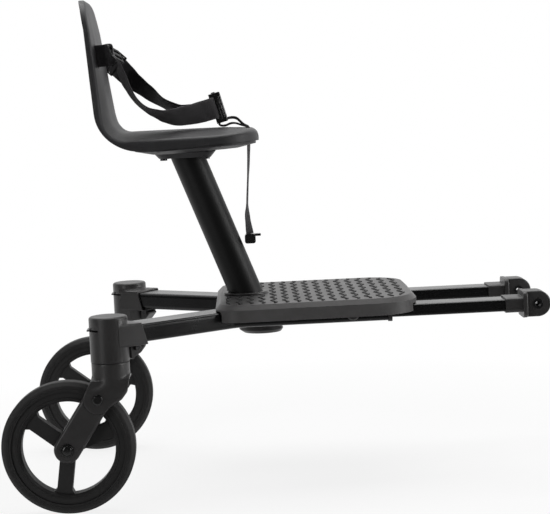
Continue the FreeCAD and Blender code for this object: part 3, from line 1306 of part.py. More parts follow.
def make_buckle():
    """The side-release buckle: a rounded block with slots for three straps and two prong pockets."""
    body = new_body("buckle")
    half_deep, half_high = s.buckle_depth / 2, s.buckle_height / 2
    face = new_sketch(body, "XZ_Plane")
    draw_rectangle(face, -half_deep, -half_high, half_deep, half_high)
    pad(body, face, s.buckle_length, both=True)
    dress(body, "Fillet", s.buckle_edge, lambda edge: runs_along(edge, Y_AXIS))
    slot_deep = s.belt_thickness / 2 + s.part_gap
    slot_high = s.belt_width / 2 + s.part_gap
    half_long = s.buckle_length / 2
    for level, back in ((half_long, False), (-half_long, True)):
        slot = new_sketch(body, "XZ_Plane", level)
        draw_rectangle(slot, -slot_deep, -slot_high, slot_deep, slot_high)
        pocket(body, slot, s.strap_bite + s.part_gap, back=back)
    prong_deep = s.prong_depth / 2 + s.slide_gap
    prong_long = s.prong_length / 2 + s.slide_gap
    for level, back in ((half_high, False), (-half_high, True)):
        slot = new_sketch(body, "XY_Plane", level)
        draw_rectangle(slot, -prong_deep, -prong_long, prong_deep, prong_long)
        pocket(body, slot, s.prong_bite + s.prong_press + s.slide_gap, back=back)
    return place(body, buckle_x, 0, buckle_z, buckle_turn)


def make_prong(name, way):
    """One squeeze prong on the buckle's upper or lower edge."""
    body = new_body(f"prong_{name}")
    low, high = s.buckle_height / 2 - s.prong_bite, s.buckle_height / 2 + s.prong_stand
    sketch = new_sketch(body, "XY_Plane", low)
    half_deep, half_long = s.prong_depth / 2, s.prong_length / 2
    draw_rectangle(sketch, -half_deep, -half_long, half_deep, half_long)
    pad(body, sketch, high - low)
    dress(body, "Fillet", s.prong_stand / 3, lambda edge: lies_at(edge, "Z", high))
    turn = buckle_turn.multiply(Rotation(Y_AXIS, 0 if way > 0 else 180))
    return place(body, buckle_x, 0, buckle_z, turn)


def make_crotch_strap():
    """The strap that leaves the buckle's lower front edge, humps forward and goes down through its slot."""
    ahead = buckle_turn.multVec(X_AXIS) * (s.buckle_depth / 2 + s.belt_thickness / 2 + s.part_gap)
    face = buckle_centre + ahead
    start, turn = face - buckle_up * (s.buckle_height / 4), face - buckle_up * (s.buckle_height / 2 + s.crotch_drop)
    hump = Vector((turn.x + strap_foot_x) / 2, 0, s.seat_level + s.crotch_hump)
    foot = Vector(strap_foot_x, 0, base_low)
    points = [start, turn, hump, Vector(strap_foot_x, 0, s.seat_level + s.crotch_hump / 3), foot]
    path = open_path(points, s.crotch_bend)
    flat = buckle_turn.multVec(X_AXIS) * (s.belt_thickness / 2)
    wide = Y_AXIS * (s.crotch_width / 2)
    ring = [start - wide - flat, start + wide - flat, start + wide + flat, start - wide + flat]
    return path.makePipeShell([Part.makePolygon(ring + ring[:1])], True, False)


def tail_place(share):
    """A place down the hanging strap."""
    lean = math.radians(s.tail_lean)
    run = Vector(-math.sin(lean), 0, -math.cos(lean)) * (s.tail_length * share)
    return Vector(strap_foot_x, 0, base_low) + run


def make_clip():
    """The small end clip on the hanging strap."""
    foot = tail_place(1)
    block = Part.makeBox(s.tail_clip_depth, s.tail_clip_length, s.tail_clip_height,
                         Vector(foot.x - s.tail_clip_depth / 2, -s.tail_clip_length / 2, foot.z - s.tail_clip_height))
    block = block.makeFillet(s.buckle_edge, [edge for edge in block.Edges if runs_along(edge, Y_AXIS)])
    lever = Part.makeBox(s.tail_clip_depth / 2 + s.clip_lever_length, s.clip_lever_width, s.clip_lever_thickness,
                         Vector(foot.x, -s.clip_lever_width / 2, foot.z - s.clip_lever_thickness))
    lever = lever.makeFillet(s.clip_lever_thickness / 3, lever.Edges)
    return block.fuse(lever).removeSplitter()


def make_belt():
    for name, side in SIDES:
        piece(solid(f"lap_strap_{name}", ribbon(lap_stations(side), s.belt_width, s.belt_thickness)),
              f"lap_strap_{name}")
    adjusters = [solid(f"adjuster_{name}", make_adjuster(side)) for name, side in SIDES]
    piece(group("strap_adjusters", *adjusters), "strap_adjusters")
    piece(make_buckle(), "belt_buckle")
    for name, way in (("upper", 1), ("lower", -1)):
        piece(make_prong(name, way), f"buckle_prong_{name}")
    piece(solid("crotch_strap", make_crotch_strap()), "crotch_strap")
    ends = [(tail_place(share), Y_AXIS, -Z_AXIS) for share in (0, 1)]
    tail = ribbon(ends, s.tail_width, s.belt_thickness)
    piece(solid("tail_strap", tail), "tail_strap")
    piece(solid("strap_clip", make_clip()), "strap_clip")


def make_seat_group():
    piece(make_post(), "seat_post")
    piece(make_bracket(), "seat_bracket")
    piece(make_base(), "seat_base")
    piece(make_seat(), "seat_shell")
    piece(make_seat_screws(), "seat_screws")
    make_belt()


for name, side in SIDES:
    make_wheel(name, side)
    make_swing(name, side)
    make_castor(name, side)
make_housings()
make_arms()
make_board()
make_seat_group()
doc.recompute()

broken = [obj.Label for obj in doc.Objects if {"Invalid", "Error"} & set(obj.State)]
broken += [obj.Label for obj in PIECES if obj.Shape.isNull() or not obj.Shape.isValid()]
if broken:
    raise RuntimeError("These objects failed: " + ", ".join(broken))
os.makedirs("parts", exist_ok=True)
for obj in PIECES:
    obj.Shape.exportStep(f"parts/{obj.Label}.step")
print(len(PIECES), "sub-parts written")
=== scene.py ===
"""Looks for a ride-on buggy board: its straps, its finishes and a plain studio round it."""

import math

import bmesh
import bpy
from bpy.props import FloatProperty, FloatVectorProperty, IntProperty, PointerProperty
from mathutils import Matrix, Vector


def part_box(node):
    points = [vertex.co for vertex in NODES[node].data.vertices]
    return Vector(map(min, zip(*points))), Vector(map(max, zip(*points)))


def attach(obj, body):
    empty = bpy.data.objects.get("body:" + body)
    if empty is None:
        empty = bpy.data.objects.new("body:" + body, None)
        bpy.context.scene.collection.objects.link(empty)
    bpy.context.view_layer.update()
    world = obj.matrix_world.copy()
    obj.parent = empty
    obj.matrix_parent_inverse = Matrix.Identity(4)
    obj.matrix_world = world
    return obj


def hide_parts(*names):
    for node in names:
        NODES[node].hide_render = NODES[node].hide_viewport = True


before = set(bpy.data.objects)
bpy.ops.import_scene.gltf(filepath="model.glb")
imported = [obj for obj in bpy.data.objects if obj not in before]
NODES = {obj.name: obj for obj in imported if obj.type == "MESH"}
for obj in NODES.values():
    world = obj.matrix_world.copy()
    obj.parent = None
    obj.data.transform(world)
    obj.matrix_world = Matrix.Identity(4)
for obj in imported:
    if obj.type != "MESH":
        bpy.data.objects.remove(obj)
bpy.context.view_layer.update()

bl_info = {
    "name": "Buggy Board Looks",
    "version": (1, 0, 0),
    "blender": (4, 5, 0),
    "location": "View3D > Sidebar > Buggy Board",
    "description": "Dresses the packed buggy board with straps, finishes and a studio",
    "category": "Object",
}

PICTURE_WIDTH = 550
SENSOR_WIDTH = 36
SIDES = ("left", "right")
ACROSS = Vector((0, 1, 0))
WHITE = (1, 1, 1, 1)
SAME_PLACE = 1e-6
# The axis on which a castor turns, and the place where an arm's splayed end meets its sleeve
SWIVEL_X = -0.20485
ARM_BEND = (-0.05485, 0.07)


def colour_property(name, description, default):
    """A colour that the sidebar shows."""
    return FloatVectorProperty(name=name, description=description, subtype="COLOR", size=3, min=0, max=1,
                               default=default)


def length_property(name, description, default):
    """A length that the sidebar shows to a tenth of a millimetre."""
    return FloatProperty(name=name, description=description, default=default, min=0, unit="LENGTH",
                         precision=4)


def number_property(name, description, default):
    """A plain number that the sidebar shows."""
    return FloatProperty(name=name, description=description, default=default)


def angle_property(name, description, degrees):
    """An angle that the sidebar shows in degrees."""
    return FloatProperty(name=name, description=description, subtype="ANGLE", default=math.radians(degrees))


class BoardColours(bpy.types.PropertyGroup):
    """The colours of the board's finishes."""

    shell: colour_property("Seat", "Moulded plastic of the seat and its bracket", (0.029, 0.0285, 0.030))
    deck_top: colour_property("Deck", "Moulded plastic of the deck", (0.072, 0.070, 0.070))
    ridge: colour_property("Ridges", "Rubber of the anti-slip ridges", (0.012, 0.012, 0.012))
    castor: colour_property("Castor plastic", "Glass-filled plastic of the castors", (0.030, 0.0288, 0.0288))
    tube: colour_property("Tube coat", "Powder coat on the tubes and arms", (0.004, 0.004, 0.0042))
    post: colour_property("Post coat", "Satin coat on the seat post", (0.003, 0.003, 0.003))
    tyre: colour_property("Tyre", "Tyre rubber", (0.021, 0.0205, 0.0205))
    rim: colour_property("Rim", "Rim and spokes", (0.019, 0.0185, 0.0185))
    gloss: colour_property("Gloss caps", "Polished caps, sliders and buckle", (0.006, 0.006, 0.006))
    webbing: colour_property("Webbing", "Woven straps", (0.030, 0.028, 0.030))
    steel: colour_property("Steel", "Plated pins, screws and bushes", (0.55, 0.55, 0.56))
    black_steel: colour_property("Blackened steel", "Blackened screws, bushes and clips", (0.05, 0.05, 0.052))
    glide: colour_property("Glides", "Slippery plastic of guides, bushes and glides", (0.02, 0.02, 0.02))


class StrapSizes(bpy.types.PropertyGroup):
    """The sizes of the straps."""

    thickness: length_property("Thickness", "Thickness of the webbing", 0.0015)
    crotch_thickness: length_property("Crotch thickness", "Thickness of the doubled crotch strap", 0.0024)
    lap_width: length_property("Lap width", "Width of the lap straps", 0.027)
    crotch_width: length_property("Crotch width", "Width of the crotch strap", 0.02)
    tail_width: length_property("Tail width", "Width of the hanging tail", 0.012)
    rib_pitch: length_property("Rib pitch", "Distance between two ribs of the weave", 0.0013)
    steps: IntProperty(name="Steps", description="Spline steps between two route points", default=10, min=4)


class StudioSettings(bpy.types.PropertyGroup):
    """The camera and the lamps."""

    camera_place: FloatVectorProperty(name="Camera", description="Where the camera stands",
                                      subtype="TRANSLATION", size=3, default=(-0.03089, -2.0314, 0.48216))
    camera_yaw: angle_property("Yaw", "Turn to the right of straight ahead", 0.846)
    camera_pitch: angle_property("Pitch", "Tilt below the horizon", 5.7477)
    camera_roll: angle_property("Roll", "Clockwise roll of the camera", 2.7187)
    focal_pixels: number_property("Focal length", "Focal length in picture pixels", 1576.94)
    top_power: number_property("Top lamp", "Power of the softbox overhead", 29.0)
    right_power: number_property("Right lamp", "Power of the softbox on the right", 24.0)
    left_power: number_property("Left lamp", "Power of the softbox on the left", 10.8)
    front_power: number_property("Front lamp", "Power of the fill lamp by the camera", 0.3)
    ambient: number_property("Ambient", "Strength of the even light all round", 0.05)


class Wire:
    """One output of a finish's nodes, on which sums are written as Python."""

    def __init__(self, finish, socket):
        self.finish, self.socket = finish, socket

    def math(self, operation, first, second):
        return self.finish.node("ShaderNodeMath", {"operation": operation}, {0: first, 1: second})

    def __add__(self, other):
        return self.math("ADD", self, other)

    def __radd__(self, other):
        return self.math("ADD", other, self)

    def __sub__(self, other):
        return self.math("SUBTRACT", self, other)

    def __rsub__(self, other):
        return self.math("SUBTRACT", other, self)

    def __mul__(self, other):
        return self.math("MULTIPLY", self, other)

    def __rmul__(self, other):
        return self.math("MULTIPLY", other, self)


class Finish:
    """A material, built node by node."""

    def __init__(self, name, tree=None):
        if tree is None:
            self.material = bpy.data.materials.new(name)
            self.material.use_nodes = True
            tree = self.material.node_tree
        self.tree = tree
        self.tree.nodes.clear()

    def node(self, kind, settings=None, sockets=None, output=0):
        """Adds a node: its settings first, then the values or wires of its sockets."""
        made = self.tree.nodes.new(kind)
        for key, value in (settings or {}).items():
            setattr(made, key, value)
        for key, value in (sockets or {}).items():
            if isinstance(value, Wire):
                self.tree.links.new(value.socket, made.inputs[key])
            else:
                made.inputs[key].default_value = value
        return Wire(self, made.outputs[output]) if made.outputs else None

    def place(self):
        """Where a point lies on the object."""
        return self.node("ShaderNodeTexCoord", output="Object")

    def noise(self, scale, detail=2, roughness=0.5):
        """Cloudy noise, with its scale in spots a metre."""
        return self.node("ShaderNodeTexNoise", sockets={"Vector": self.place(), "Scale": scale,
                                                        "Detail": detail, "Roughness": roughness})

    def clamp(self, value, low, high, to_low=0, to_high=1):
        """Maps a value from one range to another, held at its ends."""
        return self.node("ShaderNodeMapRange", None, {"Value": value, "From Min": low, "From Max": high,
                                                      "To Min": to_low, "To Max": to_high})

    def blend(self, share, first, second):
        """Mixes two colours."""
        colours = [c if isinstance(c, Wire) else (*c, 1) for c in (first, second)]
        return self.node("ShaderNodeMix", {"data_type": "RGBA"}, {0: share, 6: colours[0], 7: colours[1]},
                         output=2)

    def rounded(self, radius):
        """A normal that rounds sharp edges over, and how much it bends there."""
        soft = self.node("ShaderNodeBevel", {"samples": 6}, {"Radius": radius})
        flat = self.node("ShaderNodeNewGeometry", output="Normal")
        along = self.node("ShaderNodeVectorMath", {"operation": "DOT_PRODUCT"}, {0: soft, 1: flat},
                          output="Value")
        return soft, self.clamp(1 - along, 0.02, 0.25)

    def crevice_shade(self, reach):
        """How far a place lies in a gap or corner, for painted shade there: zero in the open, near one deep
        inside.
        """
        open_share = self.node("ShaderNodeAmbientOcclusion", {"samples": 6}, {"Distance": reach}, output="AO")
        return self.clamp(1 - open_share, 0.12, 0.75)

    def bump(self, height, distance, strength, normal=None):
        """A normal that shows a height as relief, on top of another normal."""
        sockets = {"Height": height, "Distance": distance, "Strength": strength}
        if normal:
            sockets["Normal"] = normal
        return self.node("ShaderNodeBump", None, sockets)

    def surface(self, **sockets):
        """Closes the finish with a Principled shader."""
        names = {key.replace("_", " ").title().replace("Ior", "IOR"): value for key, value in sockets.items()}
        shader = self.node("ShaderNodeBsdfPrincipled", None, names)
        self.node("ShaderNodeOutputMaterial", None, {"Surface": shader})
        return self.material


def tinted(colour, share):
    """A colour made darker or lighter."""
    return tuple(min(1, c * share) for c in colour)


def moulded_plastic(name, colour, rough, grain=0.0006, spec=0.28):
    """Matte moulded plastic: spark-eroded grain, faint mottling, slightly burnished edges and painted shade
    in gaps and corners.
    """
    f = Finish(name)
    mottle = f.noise(38, 4, 0.6)
    scuff = f.noise(420, 3, 0.65)
    fine = f.node("ShaderNodeTexVoronoi", {"feature": "SMOOTH_F1"}, {"Vector": f.place(), "Scale": 1 / grain})
    soft, worn = f.rounded(0.0008)
    base = f.blend(f.clamp(mottle, 0.3, 0.7), tinted(colour, 0.9), tinted(colour, 1.12))
    base = f.blend(worn * 0.5, base, tinted(colour, 1.5))
    # Painted shade: gaps, corners and joints between parts darkened nearly to black.
    base = f.blend(f.crevice_shade(0.003) * 0.85, base, tinted(colour, 0.12))
    sheen = f.clamp(mottle * 0.6 + scuff * 0.4, 0.3, 0.7, rough - 0.05, rough + 0.06) - worn * 0.08
    height = fine * 0.7 + scuff * 0.3
    return f.surface(base_color=base, roughness=sheen, specular_ior_level=spec,
                     normal=f.bump(height, 0.00006, 0.8, soft))


def castor_plastic(context, name):
    """The glass-filled plastic of the castors and couplings."""
    return moulded_plastic(name, tuple(context.scene.board_colours.castor), 0.38, grain=0.0005, spec=0.4)


def powder_coat(name, colour, rough, spec):
    """Satin powder coat: fine orange peel with the odd speck, and painted shade in gaps and corners."""
    f = Finish(name)
    peel = f.noise(900, 2, 0.4)
    cloud = f.noise(24, 3)
    speck = f.clamp(f.noise(2600, 1, 0.3), 0.72, 0.8)
    soft, worn = f.rounded(0.001)
    base = f.blend(cloud, tinted(colour, 0.88), tinted(colour, 1.15))
    base = f.blend(speck * 0.25 + worn * 0.2, base, tinted(colour, 2.6))
    # Painted shade: gaps, corners and joints between parts darkened nearly to black.
    base = f.blend(f.crevice_shade(0.004) * 0.85, base, tinted(colour, 0.2))
    sheen = f.clamp(cloud * 0.9 + peel * 0.1, 0.3, 0.7, rough - 0.03, rough + 0.05)
    return f.surface(base_color=base, roughness=sheen, specular_ior_level=spec,
                     normal=f.bump(peel, 0.00001, 0.3, soft))


def tyre_rubber(name, colour):
    """Solid rubber: dull, dusty in its fine grain, a little shinier where it has been handled, and with
    painted shade in gaps and corners.
    """
    f = Finish(name)
    dust = f.noise(140, 5, 0.7)
    grain = f.noise(1800, 2)
    soft, worn = f.rounded(0.0006)
    base = f.blend(f.clamp(dust, 0.42, 0.75), tinted(colour, 0.9), tinted(colour, 1.35))
    # Painted shade: gaps, corners and joints between parts darkened nearly to black.
    base = f.blend(f.crevice_shade(0.003) * 0.85, base, tinted(colour, 0.15))
    sheen = f.clamp(dust, 0.3, 0.7, 0.52, 0.68) - worn * 0.06
    return f.surface(base_color=base, roughness=sheen, specular_ior_level=0.25,
                     normal=f.bump(grain * 0.6 + dust * 0.4, 0.00007, 0.7, soft))


def polished_plastic(name, colour, rough=0.09, coat=0.3, spec=0.5):
    """Glossy black plastic with faint handling marks."""
    f = Finish(name)
    haze = f.noise(260, 4, 0.6)
    marks = f.noise(60, 2)
    soft, worn = f.rounded(0.0005)
    base = f.blend(marks, tinted(colour, 0.85), tinted(colour, 1.3))
    sheen = f.clamp(haze, 0.3, 0.75, rough - 0.03, rough + 0.08) + worn * 0.05
    return f.surface(base_color=base, roughness=sheen, coat_weight=coat, specular_ior_level=spec,
                     normal=f.bump(haze, 0.00003, 0.3, soft))


def plated_steel(name, colour, rough=0.28):
    """Zinc-plated steel with fine turning lines."""
    f = Finish(name)
    turning = f.node("ShaderNodeTexWave", {"wave_type": "RINGS", "rings_direction": "Z"},
                     {"Vector": f.place(), "Scale": 900.0, "Distortion": 1.5, "Detail": 2.0})
    haze = f.noise(180, 4)
    soft, _ = f.rounded(0.0004)
    base = f.blend(haze, tinted(colour, 0.8), tinted(colour, 1.1))
    sheen = f.clamp(haze * 0.5 + turning * 0.5, 0.2, 0.8, rough - 0.06, rough + 0.1)
    return f.surface(base_color=base, metallic=1.0, roughness=sheen,
                     normal=f.bump(turning, 0.00002, 0.4, soft))


def woven_webbing(name, colour, rib_pitch, width):
    """Flat polyester webbing: chevron ribs across, warp lines along and a firm border at each edge, with
    painted shade in the weave's hollows and painted light on its raised ribs.
    """
    f = Finish(name)
    run = f.node("ShaderNodeAttribute", {"attribute_name": "strap_run"}, output="Fac")
    across = f.node("ShaderNodeAttribute", {"attribute_name": "strap_across"}, output="Fac")
    away = f.node("ShaderNodeMath", {"operation": "ABSOLUTE"}, {0: across})
    border_width, border_edge = 0.003, 0.0005
    border = f.clamp(away, width / 2 - border_width, width / 2 - border_width + border_edge)
    turn = math.tau / rib_pitch

    def ripple(value):
        return f.node("ShaderNodeMath", {"operation": "SINE"}, {0: value}) * 0.5 + 0.5

    chevron = f.node("ShaderNodeMath", {"operation": "PINGPONG"}, {0: across, 1: width / 8})
    ribs = ripple((run + chevron * 0.8) * turn)
    warp = ripple(across * (turn * 1.5))
    edge_cord = ripple(run * (turn * 0.8))
    weave = (ribs * 0.65 + warp * 0.35) * (1 - border) + (0.55 + edge_cord * 0.45) * border
    fuzz = f.noise(3200, 2)
    fade = f.noise(45, 3)
    # Partly painted shade and light: the colour follows the weave's relief, darker in its hollows and lighter
    # on its ribs and border; the fuzz and faded patches are the webbing's own.
    base = f.blend(f.clamp(weave * 0.75 + fuzz * 0.25, 0.2, 0.9), tinted(colour, 0.55), tinted(colour, 1.5))
    base = f.blend(f.clamp(fade, 0.4, 0.8) * 0.35, base, tinted(colour, 1.9))
    return f.surface(base_color=base, roughness=f.clamp(weave, 0, 1, 0.78, 0.62), specular_ior_level=0.25,
                     sheen_weight=0.12, sheen_roughness=0.5,
                     normal=f.bump(weave * 0.85 + fuzz * 0.15, 0.00025, 0.8))


def woven_thread(name, colour):
    """Twisted sewing thread, with painted light on its crowns and painted shade between them."""
    f = Finish(name)
    twist = f.noise(1500, 2)
    # Painted light and shade: the colour follows the twist's relief, lighter on its crowns.
    base = f.blend(f.clamp(twist, 0.3, 0.7), tinted(colour, 0.7), tinted(colour, 1.4))
    return f.surface(base_color=base, roughness=f.clamp(twist, 0.3, 0.7, 0.5, 0.7), specular_ior_level=0.25,
                     normal=f.bump(twist, 0.0001, 0.7))


def link(name, mesh):
    """Adds an object to the scene."""
    made = bpy.data.objects.new(name, mesh)
    bpy.context.scene.collection.objects.link(made)
    return made


def spline_points(route, steps):
    """Evenly smooth points along a spline that has the route's points as its control points."""
    curve = bpy.data.curves.new("route", "CURVE")
    curve.dimensions = "3D"
    curve.resolution_u = steps
    spline = curve.splines.new("NURBS")
    spline.points.add(len(route) - 1)
    for point, place in zip(spline.points, route):
        point.co = (*place, 1)
    spline.order_u = 3
    spline.use_endpoint_u = True
    holder = link("route", curve)
    mesh = bpy.data.meshes.new_from_object(holder)
    points = [v.co.copy() for v in mesh.vertices]
    bpy.data.objects.remove(holder)
    bpy.data.meshes.remove(mesh)
    bpy.data.curves.remove(curve)
    return points


def nearest_share(point, route):
    """How far along the route, counted in route points, a point on its spline lies."""
    best = min(range(len(route) - 1), key=lambda i: gap_to_run(point, route[i], route[i + 1])[0])
    return best + gap_to_run(point, route[best], route[best + 1])[1]


def gap_to_run(point, start, end):
    """How far a point lies from a straight run, and how far along the run that is."""
    run = end - start
    share = max(0, min(1, (point - start).dot(run) / run.length_squared))
    return (point - start - run * share).length, share


def strap(name, stations, width, thickness, steps, finish):
    """Webbing along a smooth line: each station is a place and the way its width points there.

    Gives the piece, its line, and how it lies at each point of that line: run, place, width and face.
    """
    route = [Vector(place) for place, way in stations]
    ways = [Vector(way).normalized() for place, way in stations]
    points = spline_points(route, steps)
    last = len(points) - 1
    across_shares = (-1, -0.93, -0.8, -0.55, -0.28, 0, 0.28, 0.55, 0.8, 0.93, 1)
    fat_shares = (0.45, 0.9, 1, 0.94, 0.92, 0.92, 0.92, 0.94, 1, 0.9, 0.45)
    build = bmesh.new()
    run_layer = build.verts.layers.float.new("strap_run")
    across_layer = build.verts.layers.float.new("strap_across")
    rings, lie, run = [], [], 0.0
    for i, point in enumerate(points):
        along = (points[min(i + 1, last)] - points[max(i - 1, 0)]).normalized()
        place = nearest_share(point, route)
        low = min(int(place), len(ways) - 2)
        way = ways[low].lerp(ways[low + 1], ease(place - low))
        way = (way - along * way.dot(along)).normalized()
        flat = along.cross(way)
        run += (point - points[i - 1]).length if i else 0
        half = width / 2
        lie.append((run, point, way, flat))
        ring = []
        for side in (1, -1):
            for across, fat in list(zip(across_shares, fat_shares))[::side]:
                vert = build.verts.new(point + way * (across * half) + flat * (side * fat * thickness / 2))
                vert[run_layer], vert[across_layer] = run, across * half
                ring.append(vert)
        rings.append(ring)
    for first, second in zip(rings, rings[1:]):
        for i in range(len(first)):
            j = (i + 1) % len(first)
            build.faces.new((first[i], first[j], second[j], second[i]))
    build.faces.new(rings[0][::-1])
    build.faces.new(rings[-1])
    return piece_from(name, build, finish, 180), points, lie


def sew(name, lie, rows, width, thickness, finish):
    """Rows of raised stitches across a strap, on both its faces, at distances along it."""
    pitch, sewn_share, half_long, half_wide, half_high = 0.003, 0.86, 0.0011, 0.00035, 0.0003
    build = bmesh.new()
    count = round(width / pitch)
    for row in rows:
        _, place, way, flat = min(lie, key=lambda spot: abs(spot[0] - row))
        along = way.cross(flat)
        for number in range(count):
            for face in (1, -1):
                middle = place + way * ((number + 0.5) / count - 0.5) * (width * sewn_share)
                middle += flat * (face * thickness / 2)
                beside, above = along * half_wide, flat * (face * half_high)
                ends = [build.verts.new(middle + way * (side * half_long)) for side in (1, -1)]
                ring = [build.verts.new(middle + out) for out in (beside, above, -beside, -above)]
                for i in range(4):
                    for end in ends:
                        build.faces.new((ring[i], ring[(i + 1) % 4], end))
    return piece_from(name, build, finish)


def piece_from(name, build, finish, sharp=40):
    """Closes a mesh build: outward faces, smooth but for its sharp edges, with one finish."""
    bmesh.ops.recalc_face_normals(build, faces=build.faces)
    mesh = bpy.data.meshes.new(name)
    build.to_mesh(mesh)
    build.free()
    mesh.polygons.foreach_set("use_smooth", [True] * len(mesh.polygons))
    mesh.set_sharp_from_angle(angle=math.radians(sharp))
    mesh.materials.append(finish)
    return link(name, mesh)


def reshaped(name, node, body, finish, shift, sweeps, finest=0.012):
    """A copy of a moulding, made finer in sweeps, with each of its points shifted, that stands for it."""
    build = bmesh.new()
    build.from_mesh(NODES[node].data)
    bmesh.ops.remove_doubles(build, verts=build.verts, dist=SAME_PLACE)
    for _ in range(sweeps):
        long_edges = [edge for edge in build.edges if edge.calc_length() > finest]
        bmesh.ops.subdivide_edges(build, edges=long_edges, cuts=1)
        bmesh.ops.triangulate(build, faces=build.faces)
    for vert in build.verts:
        vert.co += shift(vert.co)
    piece = piece_from(name, build, finish, 32)
    even = piece.modifiers.new("even_shading", "WEIGHTED_NORMAL")
    even.keep_sharp = True
    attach(piece, body)
    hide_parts(node)


def ways_round(axis, count):
    """Directions evenly round an axis."""
    side = axis.orthogonal().normalized()
    other = axis.cross(side)
    angles = [math.tau * i / count for i in range(count)]
    return [side * math.cos(angle) + other * math.sin(angle) for angle in angles]


def lathe(build, profile, centre, axis, turns=48):
    """Turns a profile, its radii and heights in millimetres, round an axis."""
    ways, rings = ways_round(axis, turns), []
    for radius, height in profile:
        middle = centre + axis * (height / 1000)
        spots = [middle + way * (radius / 1000) for way in ways] if radius else [middle]
        rings.append([build.verts.new(spot) for spot in spots])
    for first, second in zip(rings, rings[1:]):
        for i in range(turns):
            j = (i + 1) % turns
            corners = [first[i % len(first)], first[j % len(first)],
                       second[j % len(second)], second[i % len(second)]]
            build.faces.new(list(dict.fromkeys(corners)))


def hoop(build, radius, thick, centre, axis, turns=96, sides=8):
    """A round ring bead."""
    angles = [math.tau * k / sides for k in range(sides)]
    rings = []
    for out in ways_round(axis, turns):
        spots = [centre + out * (radius + thick * math.cos(a)) + axis * (thick * math.sin(a)) for a in angles]
        rings.append([build.verts.new(spot) for spot in spots])
    for first, second in zip(rings, rings[1:] + rings[:1]):
        for k in range(sides):
            build.faces.new((first[k], first[(k + 1) % sides], second[(k + 1) % sides], second[k]))


def slotted_plate(build, cuts_along, cuts_across, slots, depth, place):
    """A plate cut on a grid, with the named cells left open, put in place by a matrix."""
    layers = [[[build.verts.new(place @ Vector((x, y, z))) for y in cuts_across] for x in cuts_along]
              for z in (-depth / 2, depth / 2)]
    solid = {(i, j) for i in range(len(cuts_along) - 1) for j in range(len(cuts_across) - 1)} - set(slots)
    for i, j in solid:
        corners = ((i, j), (i + 1, j), (i + 1, j + 1), (i, j + 1))
        for layer in layers:
            build.faces.new([layer[a][b] for a, b in corners])
        for (a, b), (c, d), beside in zip(corners, corners[1:] + corners[:1],
                                          ((i, j - 1), (i + 1, j), (i, j + 1), (i - 1, j))):
            if beside not in solid:
                build.faces.new((layers[0][a][b], layers[0][c][d], layers[1][c][d], layers[1][a][b]))


def soften(piece, width):
    """Rounds a piece's sharp edges."""
    bevel = piece.modifiers.new("soft_edges", "BEVEL")
    bevel.width, bevel.segments = width, 2
    bevel.limit_method = "ANGLE"
    bevel.angle_limit = math.radians(40)


def facing(along, across, centre):
    """A matrix whose X runs along, whose Y runs across and whose Z is the normal."""
    along = along.normalized()
    across = (across - along * across.dot(along)).normalized()
    turn = Matrix((along, across, along.cross(across))).transposed().to_4x4()
    return Matrix.Translation(centre) @ turn


def webbing_for(context, name, width):
    """The weave of a strap of some width."""
    sizes, colours = context.scene.strap_sizes, context.scene.board_colours
    return woven_webbing(name, tuple(colours.webbing), sizes.rib_pitch, width)


def thread_for(context):
    """Sewing thread, a little lighter than the webbing."""
    return woven_thread("sewing_thread", tinted(tuple(context.scene.board_colours.webbing), 1.3))


def dress(finish, *names):
    """Gives CAD nodes one finish."""
    for name in names:
        mesh = NODES[name].data
        mesh.materials.clear()
        mesh.materials.append(finish)


def between(value, stops, amounts):
    """Reads a broken line: amounts at rising stops, held at both ends."""
    if value <= stops[0]:
        return amounts[0]
    for low, high, first, second in zip(stops, stops[1:], amounts, amounts[1:]):
        if value <= high:
            return first + (second - first) * (value - low) / (high - low)
    return amounts[-1]


def ease(share):
    """A share from zero to one that starts and ends gently."""
    return share * share * (3 - 2 * share)


def middle_of(node):
    """The middle of a node's box."""
    low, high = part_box(node)
    return (Vector(low) + Vector(high)) / 2


def pair(*names):
    """The names of nodes that come in a left and a right."""
    return [f"{name}_{side}" for name in names for side in SIDES]


def millimetres(*stations):
    """Stations of a strap, written in millimetres."""
    return [(Vector(place) / 1000, way) for place, way in stations]


